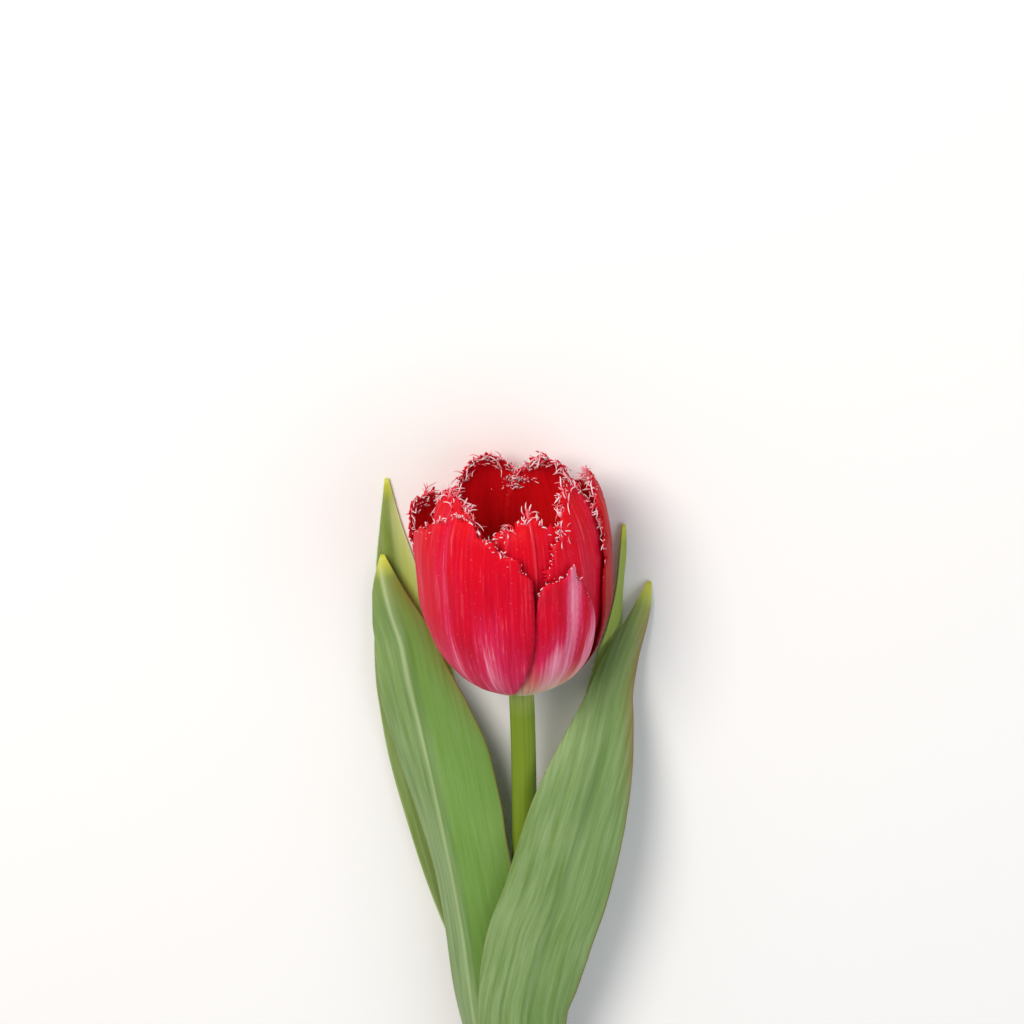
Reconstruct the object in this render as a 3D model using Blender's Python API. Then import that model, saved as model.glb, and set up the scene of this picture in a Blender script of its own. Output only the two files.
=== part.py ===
# One cut fringed tulip, lying on a flat surface with its stem along Y and its bloom towards +Y.
# Every size below is in millimetres and turns into metres where a mesh is made.

import math
import random

import bpy
from mathutils import Vector, geometry

MM = 0.001
ORIGIN_SHIFT = (2.5, 104.5)   # puts the middle of the whole piece over the origin

# Bloom: height above the petals' claws and radius of the outer whorl, then its place and lean
BLOOM_PROFILE = (
    (0.0, 4.7), (2.5, 10.6), (8.0, 17.7), (17.0, 23.1), (30.0, 26.0),
    (42.0, 26.1), (54.0, 24.5), (62.5, 20.6), (70.0, 15.5),
)
BLOOM_BASE = Vector((0.0, 0.0, 21.55))
BLOOM_TILT = 7.0
BLOOM_LEAN = 2.5
PETAL_THICKNESS = 0.62
LAYER = (0.0, 1.75, 3.5)      # depth of each whorl inside the outer one

# Stem and receptacle
STEM_PATH = ((-4.0, -275.0, 3.75), (-3.0, -190.0, 4.2), (3.3, -74.5, 12.4), (0.0, 0.0, 21.55))
STEM_RADIUS = 3.45
CUT_END_RADIUS = 3.75
SHOULDER_RADIUS = 5.1

# Fringe
TOOTH_PITCH = 1.25

# Leaves
LEAF_THICKNESS = 0.7


def eased(x):
    """0 below 0, 1 above 1, and smooth between."""
    x = min(1.0, max(0.0, x))
    return x * x * (3 - 2 * x)


def through(points, x, column=1):
    """The smooth curve through rows that start with x; it doesn't overshoot them."""
    if x <= points[0][0]:
        return points[0][column]
    if x >= points[-1][0]:
        return points[-1][column]
    slopes = [(b[column] - a[column]) / (b[0] - a[0]) for a, b in zip(points, points[1:])]
    i = max(j for j in range(len(points) - 1) if points[j][0] <= x)
    ends = []
    for j in (i, i + 1):
        before = slopes[max(0, j - 1)]
        after = slopes[min(j, len(slopes) - 1)]
        ends.append(0.0 if before * after <= 0 else 2 * before * after / (before + after))
    d = points[i + 1][0] - points[i][0]
    t = (x - points[i][0]) / d
    return (
        points[i][column] * (1 + 2 * t) * (1 - t) ** 2
        + ends[0] * d * t * (1 - t) ** 2
        + points[i + 1][column] * t * t * (3 - 2 * t)
        + ends[1] * d * t * t * (t - 1)
    )


def bloom_axes():
    tilt = math.radians(BLOOM_TILT)
    lean = math.radians(BLOOM_LEAN)
    axis = Vector((-math.sin(lean), math.cos(lean) * math.cos(tilt), math.cos(lean) * math.sin(tilt)))
    up = Vector((0.0, -math.sin(tilt), math.cos(tilt)))
    return axis, up, axis.cross(up)


AXIS, UP, SIDE = bloom_axes()


def bloom_point(radius, height, angle):
    """A point of the bloom; angle 0 faces up and +90 degrees faces +X."""
    a = math.radians(angle)
    return BLOOM_BASE + AXIS * height + (UP * math.cos(a) + SIDE * math.sin(a)) * radius


# Length along the outer whorl's meridian, tabled against height
MERIDIAN = [(0.0, 0.0)]
for step in range(1, 281):
    h0, h1 = (step - 1) / 4, step / 4
    rise = math.hypot(through(BLOOM_PROFILE, h1) - through(BLOOM_PROFILE, h0), h1 - h0)
    MERIDIAN.append((h1, MERIDIAN[-1][1] + rise))


def length_at(height):
    i = min(len(MERIDIAN) - 2, max(0, int(height * 4)))
    (h0, s0), (h1, s1) = MERIDIAN[i], MERIDIAN[i + 1]
    return s0 + (s1 - s0) * (height - h0) / (h1 - h0)


def height_at(length):
    low, high = 0, len(MERIDIAN) - 1
    while high - low > 1:
        middle = (low + high) // 2
        if MERIDIAN[middle][1] <= length:
            low = middle
        else:
            high = middle
    (h0, s0), (h1, s1) = MERIDIAN[low], MERIDIAN[low + 1]
    return h0 + (h1 - h0) * (length - s0) / (s1 - s0)


def whorl_point(length, angle, depth):
    """A point at a length along the meridian, a turn about the axis and a depth inside it."""
    h = height_at(length)
    r = through(BLOOM_PROFILE, h)
    dr = through(BLOOM_PROFILE, h + 0.1) - through(BLOOM_PROFILE, h - 0.1)
    dh = 0.2
    if h < 0.1:
        dr, dh = 5.9 * 0.2 / 2.5, 0.2
    size = math.hypot(dr, dh)
    return bloom_point(r - depth * dh / size, h + depth * dr / size, angle)


# Each petal: whorl, then its outline as (degrees, height) from the left claw over the tip to the
# right claw, then how its tip and its two edges lean out (-) or in (+), its rib, its fringe, and how
# deep its left edge tucks under the next petal, up to what height
PETALS = {
    "petal_outer_1": dict(layer=0, outline=(
        (-84, 0), (-95, 8), (-98, 20), (-98, 33), (-95, 42), (-88, 48), (-76, 51.5), (-63, 55),
        (-49, 58.3), (-39, 60.3), (-31, 59.8), (-20, 57), (-8, 53.5), (1, 51), (8, 46.5),
        (11, 42), (11, 30), (8, 18), (1, 10), (-7, 5), (-15, 2), (-24, 0)),
        tip=-0.7, edges=(-0.6, 0.15), rib=-0.25, fringe=(51, 44, 1.8), seed=3),
    "petal_outer_2": dict(layer=0, outline=(
        (-20, 0), (-10, 5), (0, 12), (5.5, 20), (8.5, 27), (12.8, 34), (15, 40.5), (18, 43), (23, 43.5),
        (28, 44), (33, 45), (37, 46), (40, 43), (43, 39.8), (47.5, 35.8), (51.5, 31.8), (54, 25),
        (56.5, 17), (57, 9), (55, 3), (53, 0)),
        tip=-0.3, edges=(0.0, -0.2), rib=0.2, fringe=(40, 43, 1.6), tuck=(1.3, 36), seed=5),
    "petal_outer_3": dict(layer=0, outline=(
        (66, 0), (68, 8), (67, 20), (64, 28), (66, 37), (71, 43), (69, 46.5), (76, 49), (75, 54),
        (81, 58.5), (95, 60.2), (110, 59.3), (122, 56), (138, 51), (152, 45), (165, 37), (171, 28),
        (172, 18), (170, 8), (166, 0)),
        tip=-0.3, edges=(0.3, 0.0), rib=0.2, fringe=(46, 34, 3.2), seed=7),
    "petal_outer_4": dict(layer=0, outline=(
        (-174, 0), (-176, 8), (-176, 20), (-172, 31), (-162, 39), (-148, 44.5), (-134, 48),
        (-122, 50.5), (-113, 50.5), (-107, 45), (-105, 36), (-105, 26), (-104, 14), (-102, 6),
        (-100, 0)),
        tip=-3.4, edges=(0.0, -0.8), rib=0.2, fringe=(34, 36, 3.2), seed=11),
    "petal_inner_1": dict(layer=1, outline=(
        (22, 0), (20, 8), (20, 24), (21, 38), (24, 46.5), (28, 51), (36, 55.5), (44, 60.5),
        (53, 64.5), (62, 65), (72, 61), (82, 54), (87, 44), (88, 32), (88, 18), (86, 8), (82, 0)),
        tip=0.3, edges=(0.0, 0.2), rib=0.15, fringe=(38, 50, 3.4), seed=13),
    "petal_inner_2": dict(layer=1, outline=(
        (-182, 0), (-185, 8), (-187, 24), (-187, 38), (-186, 47), (-182, 53), (-176, 56.5),
        (-168, 59.5), (-160, 61), (-151, 60.5), (-143, 55), (-136, 49), (-126, 43), (-114, 36), (-107, 26), (-105, 16),
        (-106, 8), (-108, 0)),
        tip=-0.5, edges=(0.2, 0.2), rib=0.15, fringe=(48, 40, 3.4), seed=17),
    "petal_inner_3": dict(layer=2, outline=(
        (-8, 0), (-12, 8), (-15, 24), (-17, 38), (-18, 48), (-17, 54), (-12, 57.2), (-4, 58.6),
        (5, 59.6), (10, 60.6), (14.5, 62.6), (19, 60.4), (25, 58.2), (33, 57), (40, 55), (45, 50),
        (47, 42), (47, 28), (45, 14), (41, 5), (36, 0)),
        tip=-0.2, edges=(0.3, 0.3), rib=-0.55, fringe=(52, 46, 2.8), tuck=(1.0, 70), seed=19),
    "petal_inner_4": dict(layer=2, outline=(
        (-104, 0), (-108, 8), (-110, 22), (-109, 38), (-104, 50), (-95, 58), (-82, 62.5),
        (-67, 63.5), (-50, 62), (-36, 60), (-27, 57), (-23, 51), (-22, 40), (-21, 26), (-22, 12),
        (-28, 0)),
        tip=0.5, edges=(0.4, 0.2), rib=0.3, fringe=(40, 54, 3.4), seed=23),
    "petal_inner_5": dict(layer=2, outline=(
        (104, 0), (98, 8), (96, 22), (98, 38), (104, 47), (113, 53), (124, 58.5), (134, 63.5),
        (143, 65), (153, 63), (163, 60), (173, 57), (181, 52), (186, 45), (188, 34), (188, 20),
        (186, 8), (180, 0)),
        tip=0.3, edges=(0.3, 0.6), rib=0.3, fringe=(42, 50, 3.6), seed=29),
}


class Petal:
    """One petal as a flat domain (mm across, mm along the meridian) and its place in space."""

    def __init__(self, layer, outline, tip, edges, rib, fringe, seed, tuck=(0.0, 0.0)):
        self.layer = layer
        self.tip_lean, self.edges, self.rib = tip, edges, rib
        self.fringe_left, self.fringe_right, self.fringe_length = fringe
        self.seed = seed
        self.tuck, self.tuck_top = tuck
        self.middle = sum(p[0] for p in outline) / len(outline)
        self.outline = [self.flat(a, length_at(h)) for a, h in outline]
        self.top = max(p[1] for p in self.outline)
        self.top_side = max(self.outline, key=lambda p: p[1])[0]
        self.left = min(p[0] for p in self.outline)
        self.right = max(p[0] for p in self.outline)
        peak = self.outline.index(max(self.outline, key=lambda p: p[1]))
        self.left_side = self.outline[:peak + 1]

    def flat(self, angle, length):
        return (math.radians(angle - self.middle) * 22.0, length)

    def left_at(self, y):
        """Where the left edge is, by the length along the petal."""
        for (x0, y0), (x1, y1) in zip(self.left_side, self.left_side[1:]):
            if y0 <= y <= y1 and y1 > y0:
                return x0 + (x1 - x0) * (y - y0) / (y1 - y0)
        return self.left_side[0][0] if y < self.left_side[0][1] else self.left_side[-1][0]

    def depth(self, x, y):
        """Depth inside the outer whorl's profile, by place on the petal."""
        up = min(1.0, max(0.0, y / self.top))
        across = (x - self.left) / (self.right - self.left) * 2 - 1
        side = self.edges[0] if across < 0 else self.edges[1]
        d = LAYER[self.layer]
        d += side * eased((abs(across) - 0.45) / 0.55) * eased((up - 0.2) / 0.5)
        d += self.tip_lean * eased((up - 0.6) / 0.4)
        d += self.rib * math.exp(-((x - self.top_side * up) / 1.6) ** 2) * eased((up - 0.08) / 0.2)
        d += 0.12 * math.sin(x * 0.9 + self.seed) * eased((up - 0.45) / 0.4)
        if self.tuck:
            fade = 1 - eased((height_at(max(0.0, min(y, self.top))) - self.tuck_top) / 6)
            d += self.tuck * eased((self.left_at(y) + 4.5 - x) / 3.5) * fade
        return d

    def place(self, x, y, outward=0.0):
        angle = self.middle + math.degrees(x / 22.0)
        p = whorl_point(max(0.0, y), angle, self.depth(x, y) - outward)
        if y < 0:
            p -= AXIS * -y
        # The underside presses flat where the bloom rests
        floor = 0.0 if outward > 0 else PETAL_THICKNESS
        return Vector((p.x, p.y, max(floor, p.z)))


def smooth_line(points, pitch):
    """An open smooth line through flat points, cut into equal pieces."""
    fine = []
    for i in range(len(points) - 1):
        p0 = Vector(points[max(0, i - 1)])
        p1, p2 = Vector(points[i]), Vector(points[i + 1])
        p3 = Vector(points[min(len(points) - 1, i + 2)])
        for k in range(16):
            t = k / 16
            fine.append(0.5 * (
                2 * p1 + (p2 - p0) * t + (2 * p0 - 5 * p1 + 4 * p2 - p3) * t * t
                + (3 * p1 - p0 - 3 * p2 + p3) * t ** 3))
    fine.append(Vector(points[-1]))
    run = [0.0]
    for a, b in zip(fine, fine[1:]):
        run.append(run[-1] + (b - a).length)
    count = max(2, round(run[-1] / pitch))
    out, j = [], 0
    for k in range(count + 1):
        want = run[-1] * k / count
        while j < len(run) - 2 and run[j + 1] < want:
            j += 1
        t = (want - run[j]) / max(1e-9, run[j + 1] - run[j])
        out.append(fine[j].lerp(fine[j + 1], min(1.0, t)))
    return out


def inside(point, loop):
    hit = False
    for a, b in zip(loop, loop[1:] + loop[:1]):
        if (a.y > point.y) != (b.y > point.y):
            if point.x < (b.x - a.x) * (point.y - a.y) / (b.y - a.y) + a.x:
                hit = not hit
    return hit


def away(point, loop):
    return min((point - p).length for p in loop)


def flat_mesh(loop, grid, clear):
    """Triangles that fill a flat loop, with points on a grid inside it."""
    points = list(loop)
    x0, x1 = min(p.x for p in loop), max(p.x for p in loop)
    y0, y1 = min(p.y for p in loop), max(p.y for p in loop)
    rows = int((y1 - y0) / (grid * 0.87)) + 1
    for row in range(rows):
        y = y0 + (row + 0.5) * grid * 0.87
        x = x0 + (0.25 + 0.5 * (row % 2)) * grid
        while x < x1:
            p = Vector((x, y))
            if inside(p, loop) and away(p, loop) > clear:
                points.append(p)
            x += grid
    ring = list(range(len(loop)))
    edges = [(i, (i + 1) % len(loop)) for i in ring]
    made = geometry.delaunay_2d_cdt(points, edges, [ring], 1, 1e-5)
    assert len(made[0]) == len(points)
    return points, [tuple(f) for f in made[2]]


def add_object(name, vertices, faces, material):
    mesh = bpy.data.meshes.new(name)
    moved = [((x + ORIGIN_SHIFT[0]) * MM, (y + ORIGIN_SHIFT[1]) * MM, z * MM) for x, y, z in vertices]
    mesh.from_pydata(moved, [], faces)
    mesh.validate()
    mesh.materials.append(material)
    obj = bpy.data.objects.new(name, mesh)
    bpy.context.collection.objects.link(obj)
    return obj


def petal(name, spec, material):
    """A closed blade: an outer and an inner face cut alike, a rim, and teeth raised from the rim."""
    p = Petal(**spec)
    rand = random.Random(p.seed)
    line = smooth_line(p.outline, TOOTH_PITCH)
    across = smooth_line([p.outline[-1], p.outline[0]], 2.5)[1:-1]
    loop = line + across
    points, triangles = flat_mesh(loop, 4.6, 2.1)
    half = PETAL_THICKNESS / 2
    front = [p.place(q.x, q.y, half) for q in points]
    back = [p.place(q.x, q.y, -half) for q in points]
    n = len(points)
    vertices = front + back
    faces = []
    for a, b, c in triangles:
        normal = (front[b] - front[a]).cross(front[c] - front[a])
        if normal.dot(front[a] - back[a]) < 0:
            b, c = c, b
        faces += [(a, b, c), (a + n, c + n, b + n)]
    forward = set()
    for a, b, c in faces[::2]:
        forward.update(((a, b), (b, c), (c, a)))
    count = len(line)
    skip = 0
    for i in range(len(loop)):
        j = (i + 1) % len(loop)
        a, b = (i, j) if (i, j) in forward else (j, i)
        rim = (b, a, a + n, b + n)
        height = height_at(max(0.0, min(loop[i].y, p.top)))
        start = p.fringe_left if loop[i].x < p.top_side else p.fringe_right
        room = eased((height - start + 12) / 16)
        if i + 1 < count and room > 0.03 and skip == 0 and 3 < i < count - 4:
            skip = rand.choice((1, 1, 1, 2))
            along = (loop[j] - loop[i]).normalized()
            out = Vector((-along.y, along.x))
            size = p.fringe_length * room * rand.uniform(0.55, 1.0)
            at = (loop[i] + loop[j]) / 2 + out * size + along * size * rand.uniform(-0.45, 0.45)
            lean = rand.uniform(-0.3, 0.3) * size / 3
            vertices.append(p.place(at.x, at.y, lean))
            tip = len(vertices) - 1
            for k in range(4):
                faces.append((rim[k], rim[(k + 1) % 4], tip))
        else:
            skip = max(0, skip - 1)
            faces += [(rim[0], rim[1], rim[2]), (rim[0], rim[2], rim[3])]
    return add_object(name, vertices, faces, material)


def bezier(path, t):
    a, b, c, d = (Vector(p) for p in path)
    s = 1 - t
    return a * s ** 3 + b * 3 * s * s * t + c * 3 * s * t * t + d * t ** 3


def frame_of(tangent):
    """Right and down directions across a line that runs along a tangent."""
    tangent = tangent.normalized()
    down = Vector((0, 0, -1))
    down = (down - tangent * down.dot(tangent)).normalized()
    return down.cross(tangent), down


def tube(name, rings, sides, material, turn=0.0):
    """A closed solid of rings, each a centre, a tangent and a radius or a pair of radii."""
    vertices, faces = [], []
    for centre, tangent, radius in rings:
        right, down = frame_of(tangent)
        for k in range(sides):
            a = turn + 2 * math.pi * k / sides
            q = centre + right * math.cos(a) * radius - down * math.sin(a) * radius
            vertices.append(Vector((q.x, q.y, max(0.0, q.z))))
    last = len(rings) - 1
    for i in range(last):
        for k in range(sides):
            a, b = i * sides + k, i * sides + (k + 1) % sides
            faces += [(a, a + sides, b + sides), (a, b + sides, b)]
    vertices.append(rings[0][0])
    vertices.append(rings[-1][0])
    for k in range(sides):
        faces.append((len(vertices) - 2, k, (k + 1) % sides))
        faces.append((len(vertices) - 1, last * sides + (k + 1) % sides, last * sides + k))
    return add_object(name, vertices, faces, material)


def stem_centre(t):
    return bezier(STEM_PATH, t)


def stem_at(y):
    """The stem's centre at a place along Y."""
    low, high = 0.0, 1.0
    for _ in range(40):
        middle = (low + high) / 2
        if stem_centre(middle).y < y:
            low = middle
        else:
            high = middle
    return stem_centre(low)


def stem(material):
    rings = []
    for i in range(27):
        t = i / 26 * 0.985
        centre = stem_centre(t)
        tangent = stem_centre(t + 0.005) - stem_centre(t - 0.005)
        radius = STEM_RADIUS + (CUT_END_RADIUS - STEM_RADIUS) * (1 - eased(t / 0.12))
        radius += (SHOULDER_RADIUS - STEM_RADIUS) * eased((t - 0.93) / 0.055) * 0.45
        rings.append((centre, tangent, radius))
    for height, radius in ((-1.9, 4.8), (-0.75, SHOULDER_RADIUS), (-0.7, 4.05), (0.0, 4.0), (1.6, 3.3),
                           (3.2, 2.7), (4.8, 2.1)):
        rings.append((BLOOM_BASE + AXIS * height, AXIS, radius))
    return tube("stem", rings, 20, material)


# Each leaf: rows of length along the blade's middle line (Y of the row), then X and Z of its
# middle, width left and right of it, fold of each half, roll to the right, radius of its curl
LEAVES = {
    "leaf_lower": dict(rows=(
        (-177.0, None, None, 8.5, 8.5, 0, 12, 4.45),
        (-165.0, None, None, 10.5, 10.5, 0, 10, 5.6),
        (-150.0, 0.0, 16.6, 12.0, 12.0, 0, 6, 9.0),
        (-125.0, -0.2, 21.5, 12.6, 12.6, 0, 2, 18.0),
        (-100.2, 0.5, 24.5, 13.0, 13.0, 0, 0, 30.0),
        (-88.3, 2.5, 25.8, 14.4, 14.4, 0, 0, 36.0),
        (-75.5, 5.4, 26.8, 15.0, 15.2, 0, 2, 40.0),
        (-63.2, 9.6, 27.4, 15.0, 15.2, 2, 4, 42.0),
        (-51.4, 12.9, 27.4, 15.0, 15.1, 3, 7, 44.0),
        (-39.3, 16.2, 26.4, 14.6, 14.7, 4, 10, 44.0),
        (-32.1, 18.4, 25.0, 13.9, 14.0, 5, 12, 42.0),
        (-22.5, 21.2, 21.8, 12.0, 12.2, 6, 12, 34.0),
        (-12.5, 23.8, 17.2, 9.0, 9.2, 8, 10, 26.0),
        (-5.4, 25.5, 13.6, 6.8, 6.8, 10, 8, 22.0),
        (2.7, 28.2, 9.6, 5.4, 5.4, 12, 8, 18.0),
        (11.0, 31.9, 5.8, 3.5, 3.5, 14, 4, 14.0),
        (16.9, 34.2, 3.1, 2.1, 2.1, 14, 0, 10.0),
        (22.1, 35.6, 0.6, 0.5, 0.5, 0, 0, 8.0))),
    "leaf_middle": dict(rows=(
        (-152.0, None, None, 8.0, 8.0, 0, -50, 4.45),
        (-142.0, None, None, 9.5, 9.5, 3, -47, 5.6),
        (-128.0, -7.4, 16.4, 11.5, 12.0, 8, -42, 10.5),
        (-116.0, -10.4, 17.8, 12.0, 14.0, 14, -37, 20.0),
        (-104.0, -12.6, 18.6, 12.0, 15.5, 22, -33, 40.0),
        (-80.0, -15.2, 19.6, 11.0, 17.4, 25, -30, 90.0),
        (-64.0, -17.6, 20.2, 11.6, 17.0, 27, -31, 120.0),
        (-51.0, -19.9, 20.0, 12.2, 17.0, 26, -29, 120.0),
        (-40.6, -21.9, 18.8, 13.0, 17.6, 25, -25, 90.0),
        (-27.9, -24.7, 16.6, 13.2, 17.6, 22, -19, 70.0),
        (-14.1, -27.7, 14.6, 13.2, 15.0, 20, -12, 60.0),
        (-2.9, -30.2, 12.6, 12.0, 11.6, 18, -8, 50.0),
        (7.9, -32.4, 10.0, 9.8, 8.6, 16, -4, 40.0),
        (15.5, -35.0, 8.0, 7.4, 6.4, 14, -2, 30.0),
        (21.0, -36.5, 6.2, 5.2, 4.5, 12, 0, 20.0),
        (26.5, -37.6, 4.6, 2.6, 2.4, 8, 0, 12.0),
        (31.0, -38.2, 3.2, 0.5, 0.5, 0, 0, 8.0))),
    "leaf_third": dict(rows=(
        (-122.0, None, None, 6.5, 6.5, 0, -125, 4.45),
        (-112.0, None, None, 8.0, 8.0, 2, -130, 5.6),
        (-98.0, -6.6, 4.8, 8.6, 8.6, 3, -142, 11.0),
        (-75.0, -15.0, 2.3, 9.5, 9.5, 2, -160, 34.0),
        (-50.0, -21.0, 1.6, 11.0, 11.0, 3, -169, 50.0),
        (-25.0, -26.6, 1.0, 11.4, 11.4, 2, -175, 64.0),
        (-9.0, -29.2, 0.7, 11.2, 11.2, 2, -176, 60.0),
        (2.3, -31.2, 0.6, 9.8, 9.8, 2, -177, 60.0),
        (17.0, -33.2, 0.5, 7.2, 7.2, 2, -178, 50.0),
        (28.5, -34.8, 0.45, 5.2, 5.2, 2, -179, 40.0),
        (38.8, -35.9, 0.45, 3.0, 3.0, 1, -180, 30.0),
        (52.4, -36.9, 0.8, 0.5, 0.5, 0, -180, 20.0))),
    "leaf_upper": dict(rows=(
        (-98.0, None, None, 5.5, 5.5, 0, 125, 4.45),
        (-90.0, None, None, 6.5, 6.5, 2, 118, 5.6),
        (-76.0, 8.4, 9.4, 7.0, 7.0, 4, 96, 9.0),
        (-55.0, 15.5, 7.6, 7.4, 7.4, 4, 66, 20.0),
        (-30.0, 20.5, 5.6, 7.2, 7.2, 4, 36, 30.0),
        (-12.0, 23.4, 4.6, 6.2, 6.2, 4, 30, 30.0),
        (0.0, 25.2, 4.3, 5.2, 5.2, 6, 36, 24.0),
        (12.0, 26.8, 4.8, 4.4, 4.4, 8, 62, 20.0),
        (23.0, 27.8, 4.0, 3.2, 3.2, 6, 72, 16.0),
        (32.0, 28.2, 2.6, 1.7, 1.7, 2, 60, 12.0),
        (39.0, 28.3, 1.0, 0.5, 0.5, 0, 40, 8.0))),
}


class Leaf:
    """A blade round a middle line, with a curl and a fold across it."""

    def __init__(self, rows):
        full = []
        for row in rows:
            row = list(row)
            if row[1] is None:
                centre = stem_at(row[0])
                a = math.radians(row[6])
                row[1] = centre.x + math.sin(a) * row[7]
                row[2] = centre.z + math.cos(a) * row[7]
            full.append(row)
        # Length along the middle line replaces Y as the parameter
        run = 0.0
        self.rows = []
        for i, row in enumerate(full):
            if i:
                run += math.dist(row[:3], full[i - 1][:3])
            self.rows.append([run, row[1], row[0], row[2]] + row[3:])
        self.length = run

    def middle(self, t):
        return Vector((through(self.rows, t, 1), through(self.rows, t, 2), through(self.rows, t, 3)))

    def width(self, t, side):
        return through(self.rows, t, 4 if side < 0 else 5)

    def place(self, t, x, outward=0.0):
        """A point at a length t along the blade and x across it, outward of its middle face."""
        e = 0.5
        tangent = self.middle(min(self.length, t + e)) - self.middle(max(0.0, t - e))
        right, down = frame_of(tangent)
        fold = math.radians(through(self.rows, t, 6))
        roll = math.radians(through(self.rows, t, 7))
        curl = through(self.rows, t, 8)
        inner = down * math.cos(roll) - right * math.sin(roll)
        across = right * math.cos(roll) + down * math.sin(roll)
        ridge = math.sqrt(x * x + 1.2) - math.sqrt(1.2)
        a = x * math.cos(fold) / curl
        reach = curl - ridge * math.sin(fold) + outward
        p = self.middle(t) + across * math.sin(a) * reach + inner * (curl - math.cos(a) * reach)
        return p


def leaf(name, spec, material, step_along=9.0, columns=8):
    p = Leaf(**spec)
    half = LEAF_THICKNESS / 2
    rows = max(6, round(p.length / step_along))
    vertices, faces = [], []
    for outward in (half, -half):
        for i in range(rows + 1):
            u = i / rows
            t = p.length * u
            for j in range(columns + 1):
                v = j / columns * 2 - 1
                vertices.append(p.place(t, v * p.width(t, v), outward))
    wide = columns + 1
    n = (rows + 1) * wide
    for i in range(rows):
        for j in range(columns):
            a, b, c, d = i * wide + j, i * wide + j + 1, (i + 1) * wide + j + 1, (i + 1) * wide + j
            faces += [(a, b, c), (a, c, d), (a + n, c + n, b + n), (a + n, d + n, c + n)]
    loop = [j for j in range(wide)]
    loop += [i * wide + columns for i in range(1, rows + 1)]
    loop += [rows * wide + j for j in range(columns - 1, -1, -1)]
    loop += [i * wide for i in range(rows - 1, 0, -1)]
    for i, a in enumerate(loop):
        b = loop[(i + 1) % len(loop)]
        faces += [(b, a, a + n), (b, a + n, b + n)]
    return add_object(name, vertices, faces, material)


def spindle(name, path, radii, sides, material, turn=0.0):
    rings = []
    for i, (point, radius) in enumerate(zip(path, radii)):
        before, after = path[max(0, i - 1)], path[min(len(path) - 1, i + 1)]
        rings.append((point, after - before, radius))
    return tube(name, rings, sides, material, turn)


def pistil(material):
    heights = (5.1, 6.2, 10.0, 15.0, 18.5, 20.0, 21.2, 23.0, 24.2)
    radii = (1.5, 2.4, 3.0, 2.9, 2.3, 2.0, 3.1, 3.4, 1.6)
    path = [BLOOM_BASE + AXIS * h for h in heights]
    return spindle("pistil", path, radii, 12, material)


def stamen(number, material):
    angle = 60.0 * number - 170.0
    rows = ((4.75, 3.05, 0.5), (7.0, 4.6, 0.6), (11.5, 6.2, 0.6), (13.5, 6.9, 1.3), (18.0, 7.6, 1.5),
            (23.0, 7.8, 1.2), (25.0, 7.8, 0.5))
    path = [bloom_point(r, h, angle) for h, r, _ in rows]
    return spindle("stamen_%d" % number, path, [w for _, _, w in rows], 8, material)


def material(name, colour, roughness):
    made = bpy.data.materials.new(name)
    made.use_nodes = True
    shader = made.node_tree.nodes["Principled BSDF"]
    shader.inputs["Base Color"].default_value = (*colour, 1.0)
    shader.inputs["Roughness"].default_value = roughness
    return made


for old in list(bpy.data.objects):
    bpy.data.objects.remove(old, do_unlink=True)

red = material("petal_red", (0.62, 0.01, 0.03), 0.45)
green = material("leaf_green", (0.2, 0.32, 0.14), 0.5)
lime = material("stem_green", (0.2, 0.3, 0.06), 0.45)
yellow = material("pistil_green", (0.5, 0.5, 0.16), 0.5)
dark = material("anther_dark", (0.03, 0.02, 0.03), 0.7)

stem(lime)
for petal_name, petal_spec in PETALS.items():
    petal(petal_name, petal_spec, red)
pistil(yellow)
for stamen_number in range(1, 7):
    stamen(stamen_number, dark)
for leaf_name, leaf_spec in LEAVES.items():
    leaf(leaf_name, leaf_spec, green)
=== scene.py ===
# The looks of one cut fringed tulip that lies on a pale table.
# Sizes are in millimetres until a mesh is made, and share the frame of the solid model.
import math
import random

import bpy
from mathutils import Matrix, Vector, geometry


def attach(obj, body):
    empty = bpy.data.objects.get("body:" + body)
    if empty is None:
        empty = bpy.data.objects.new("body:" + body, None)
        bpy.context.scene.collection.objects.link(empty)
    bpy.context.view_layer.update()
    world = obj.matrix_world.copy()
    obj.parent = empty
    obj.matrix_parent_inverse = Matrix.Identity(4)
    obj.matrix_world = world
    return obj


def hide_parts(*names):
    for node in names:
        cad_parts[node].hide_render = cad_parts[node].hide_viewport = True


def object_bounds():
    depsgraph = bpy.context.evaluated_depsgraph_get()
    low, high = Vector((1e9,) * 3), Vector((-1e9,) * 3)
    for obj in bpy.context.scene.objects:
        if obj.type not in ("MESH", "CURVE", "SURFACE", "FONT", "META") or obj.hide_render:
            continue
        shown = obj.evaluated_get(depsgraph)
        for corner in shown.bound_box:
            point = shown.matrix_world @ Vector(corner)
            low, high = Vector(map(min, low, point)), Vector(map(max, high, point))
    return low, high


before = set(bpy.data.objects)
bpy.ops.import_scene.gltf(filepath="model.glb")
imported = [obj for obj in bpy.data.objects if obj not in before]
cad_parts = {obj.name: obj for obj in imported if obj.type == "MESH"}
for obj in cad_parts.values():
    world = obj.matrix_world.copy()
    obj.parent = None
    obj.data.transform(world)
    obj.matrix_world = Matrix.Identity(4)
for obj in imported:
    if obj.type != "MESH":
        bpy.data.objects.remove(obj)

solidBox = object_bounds()
mm = 0.001
mapMm = 100.0                             # mm of surface in one unit of a piece's map
middleShift = Vector((2.5, 104.5, 0.0))   # from the bloom's own place to the shared frame


def eased(x):
    x = min(1.0, max(0.0, x))
    return x * x * (3 - 2 * x)


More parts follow.
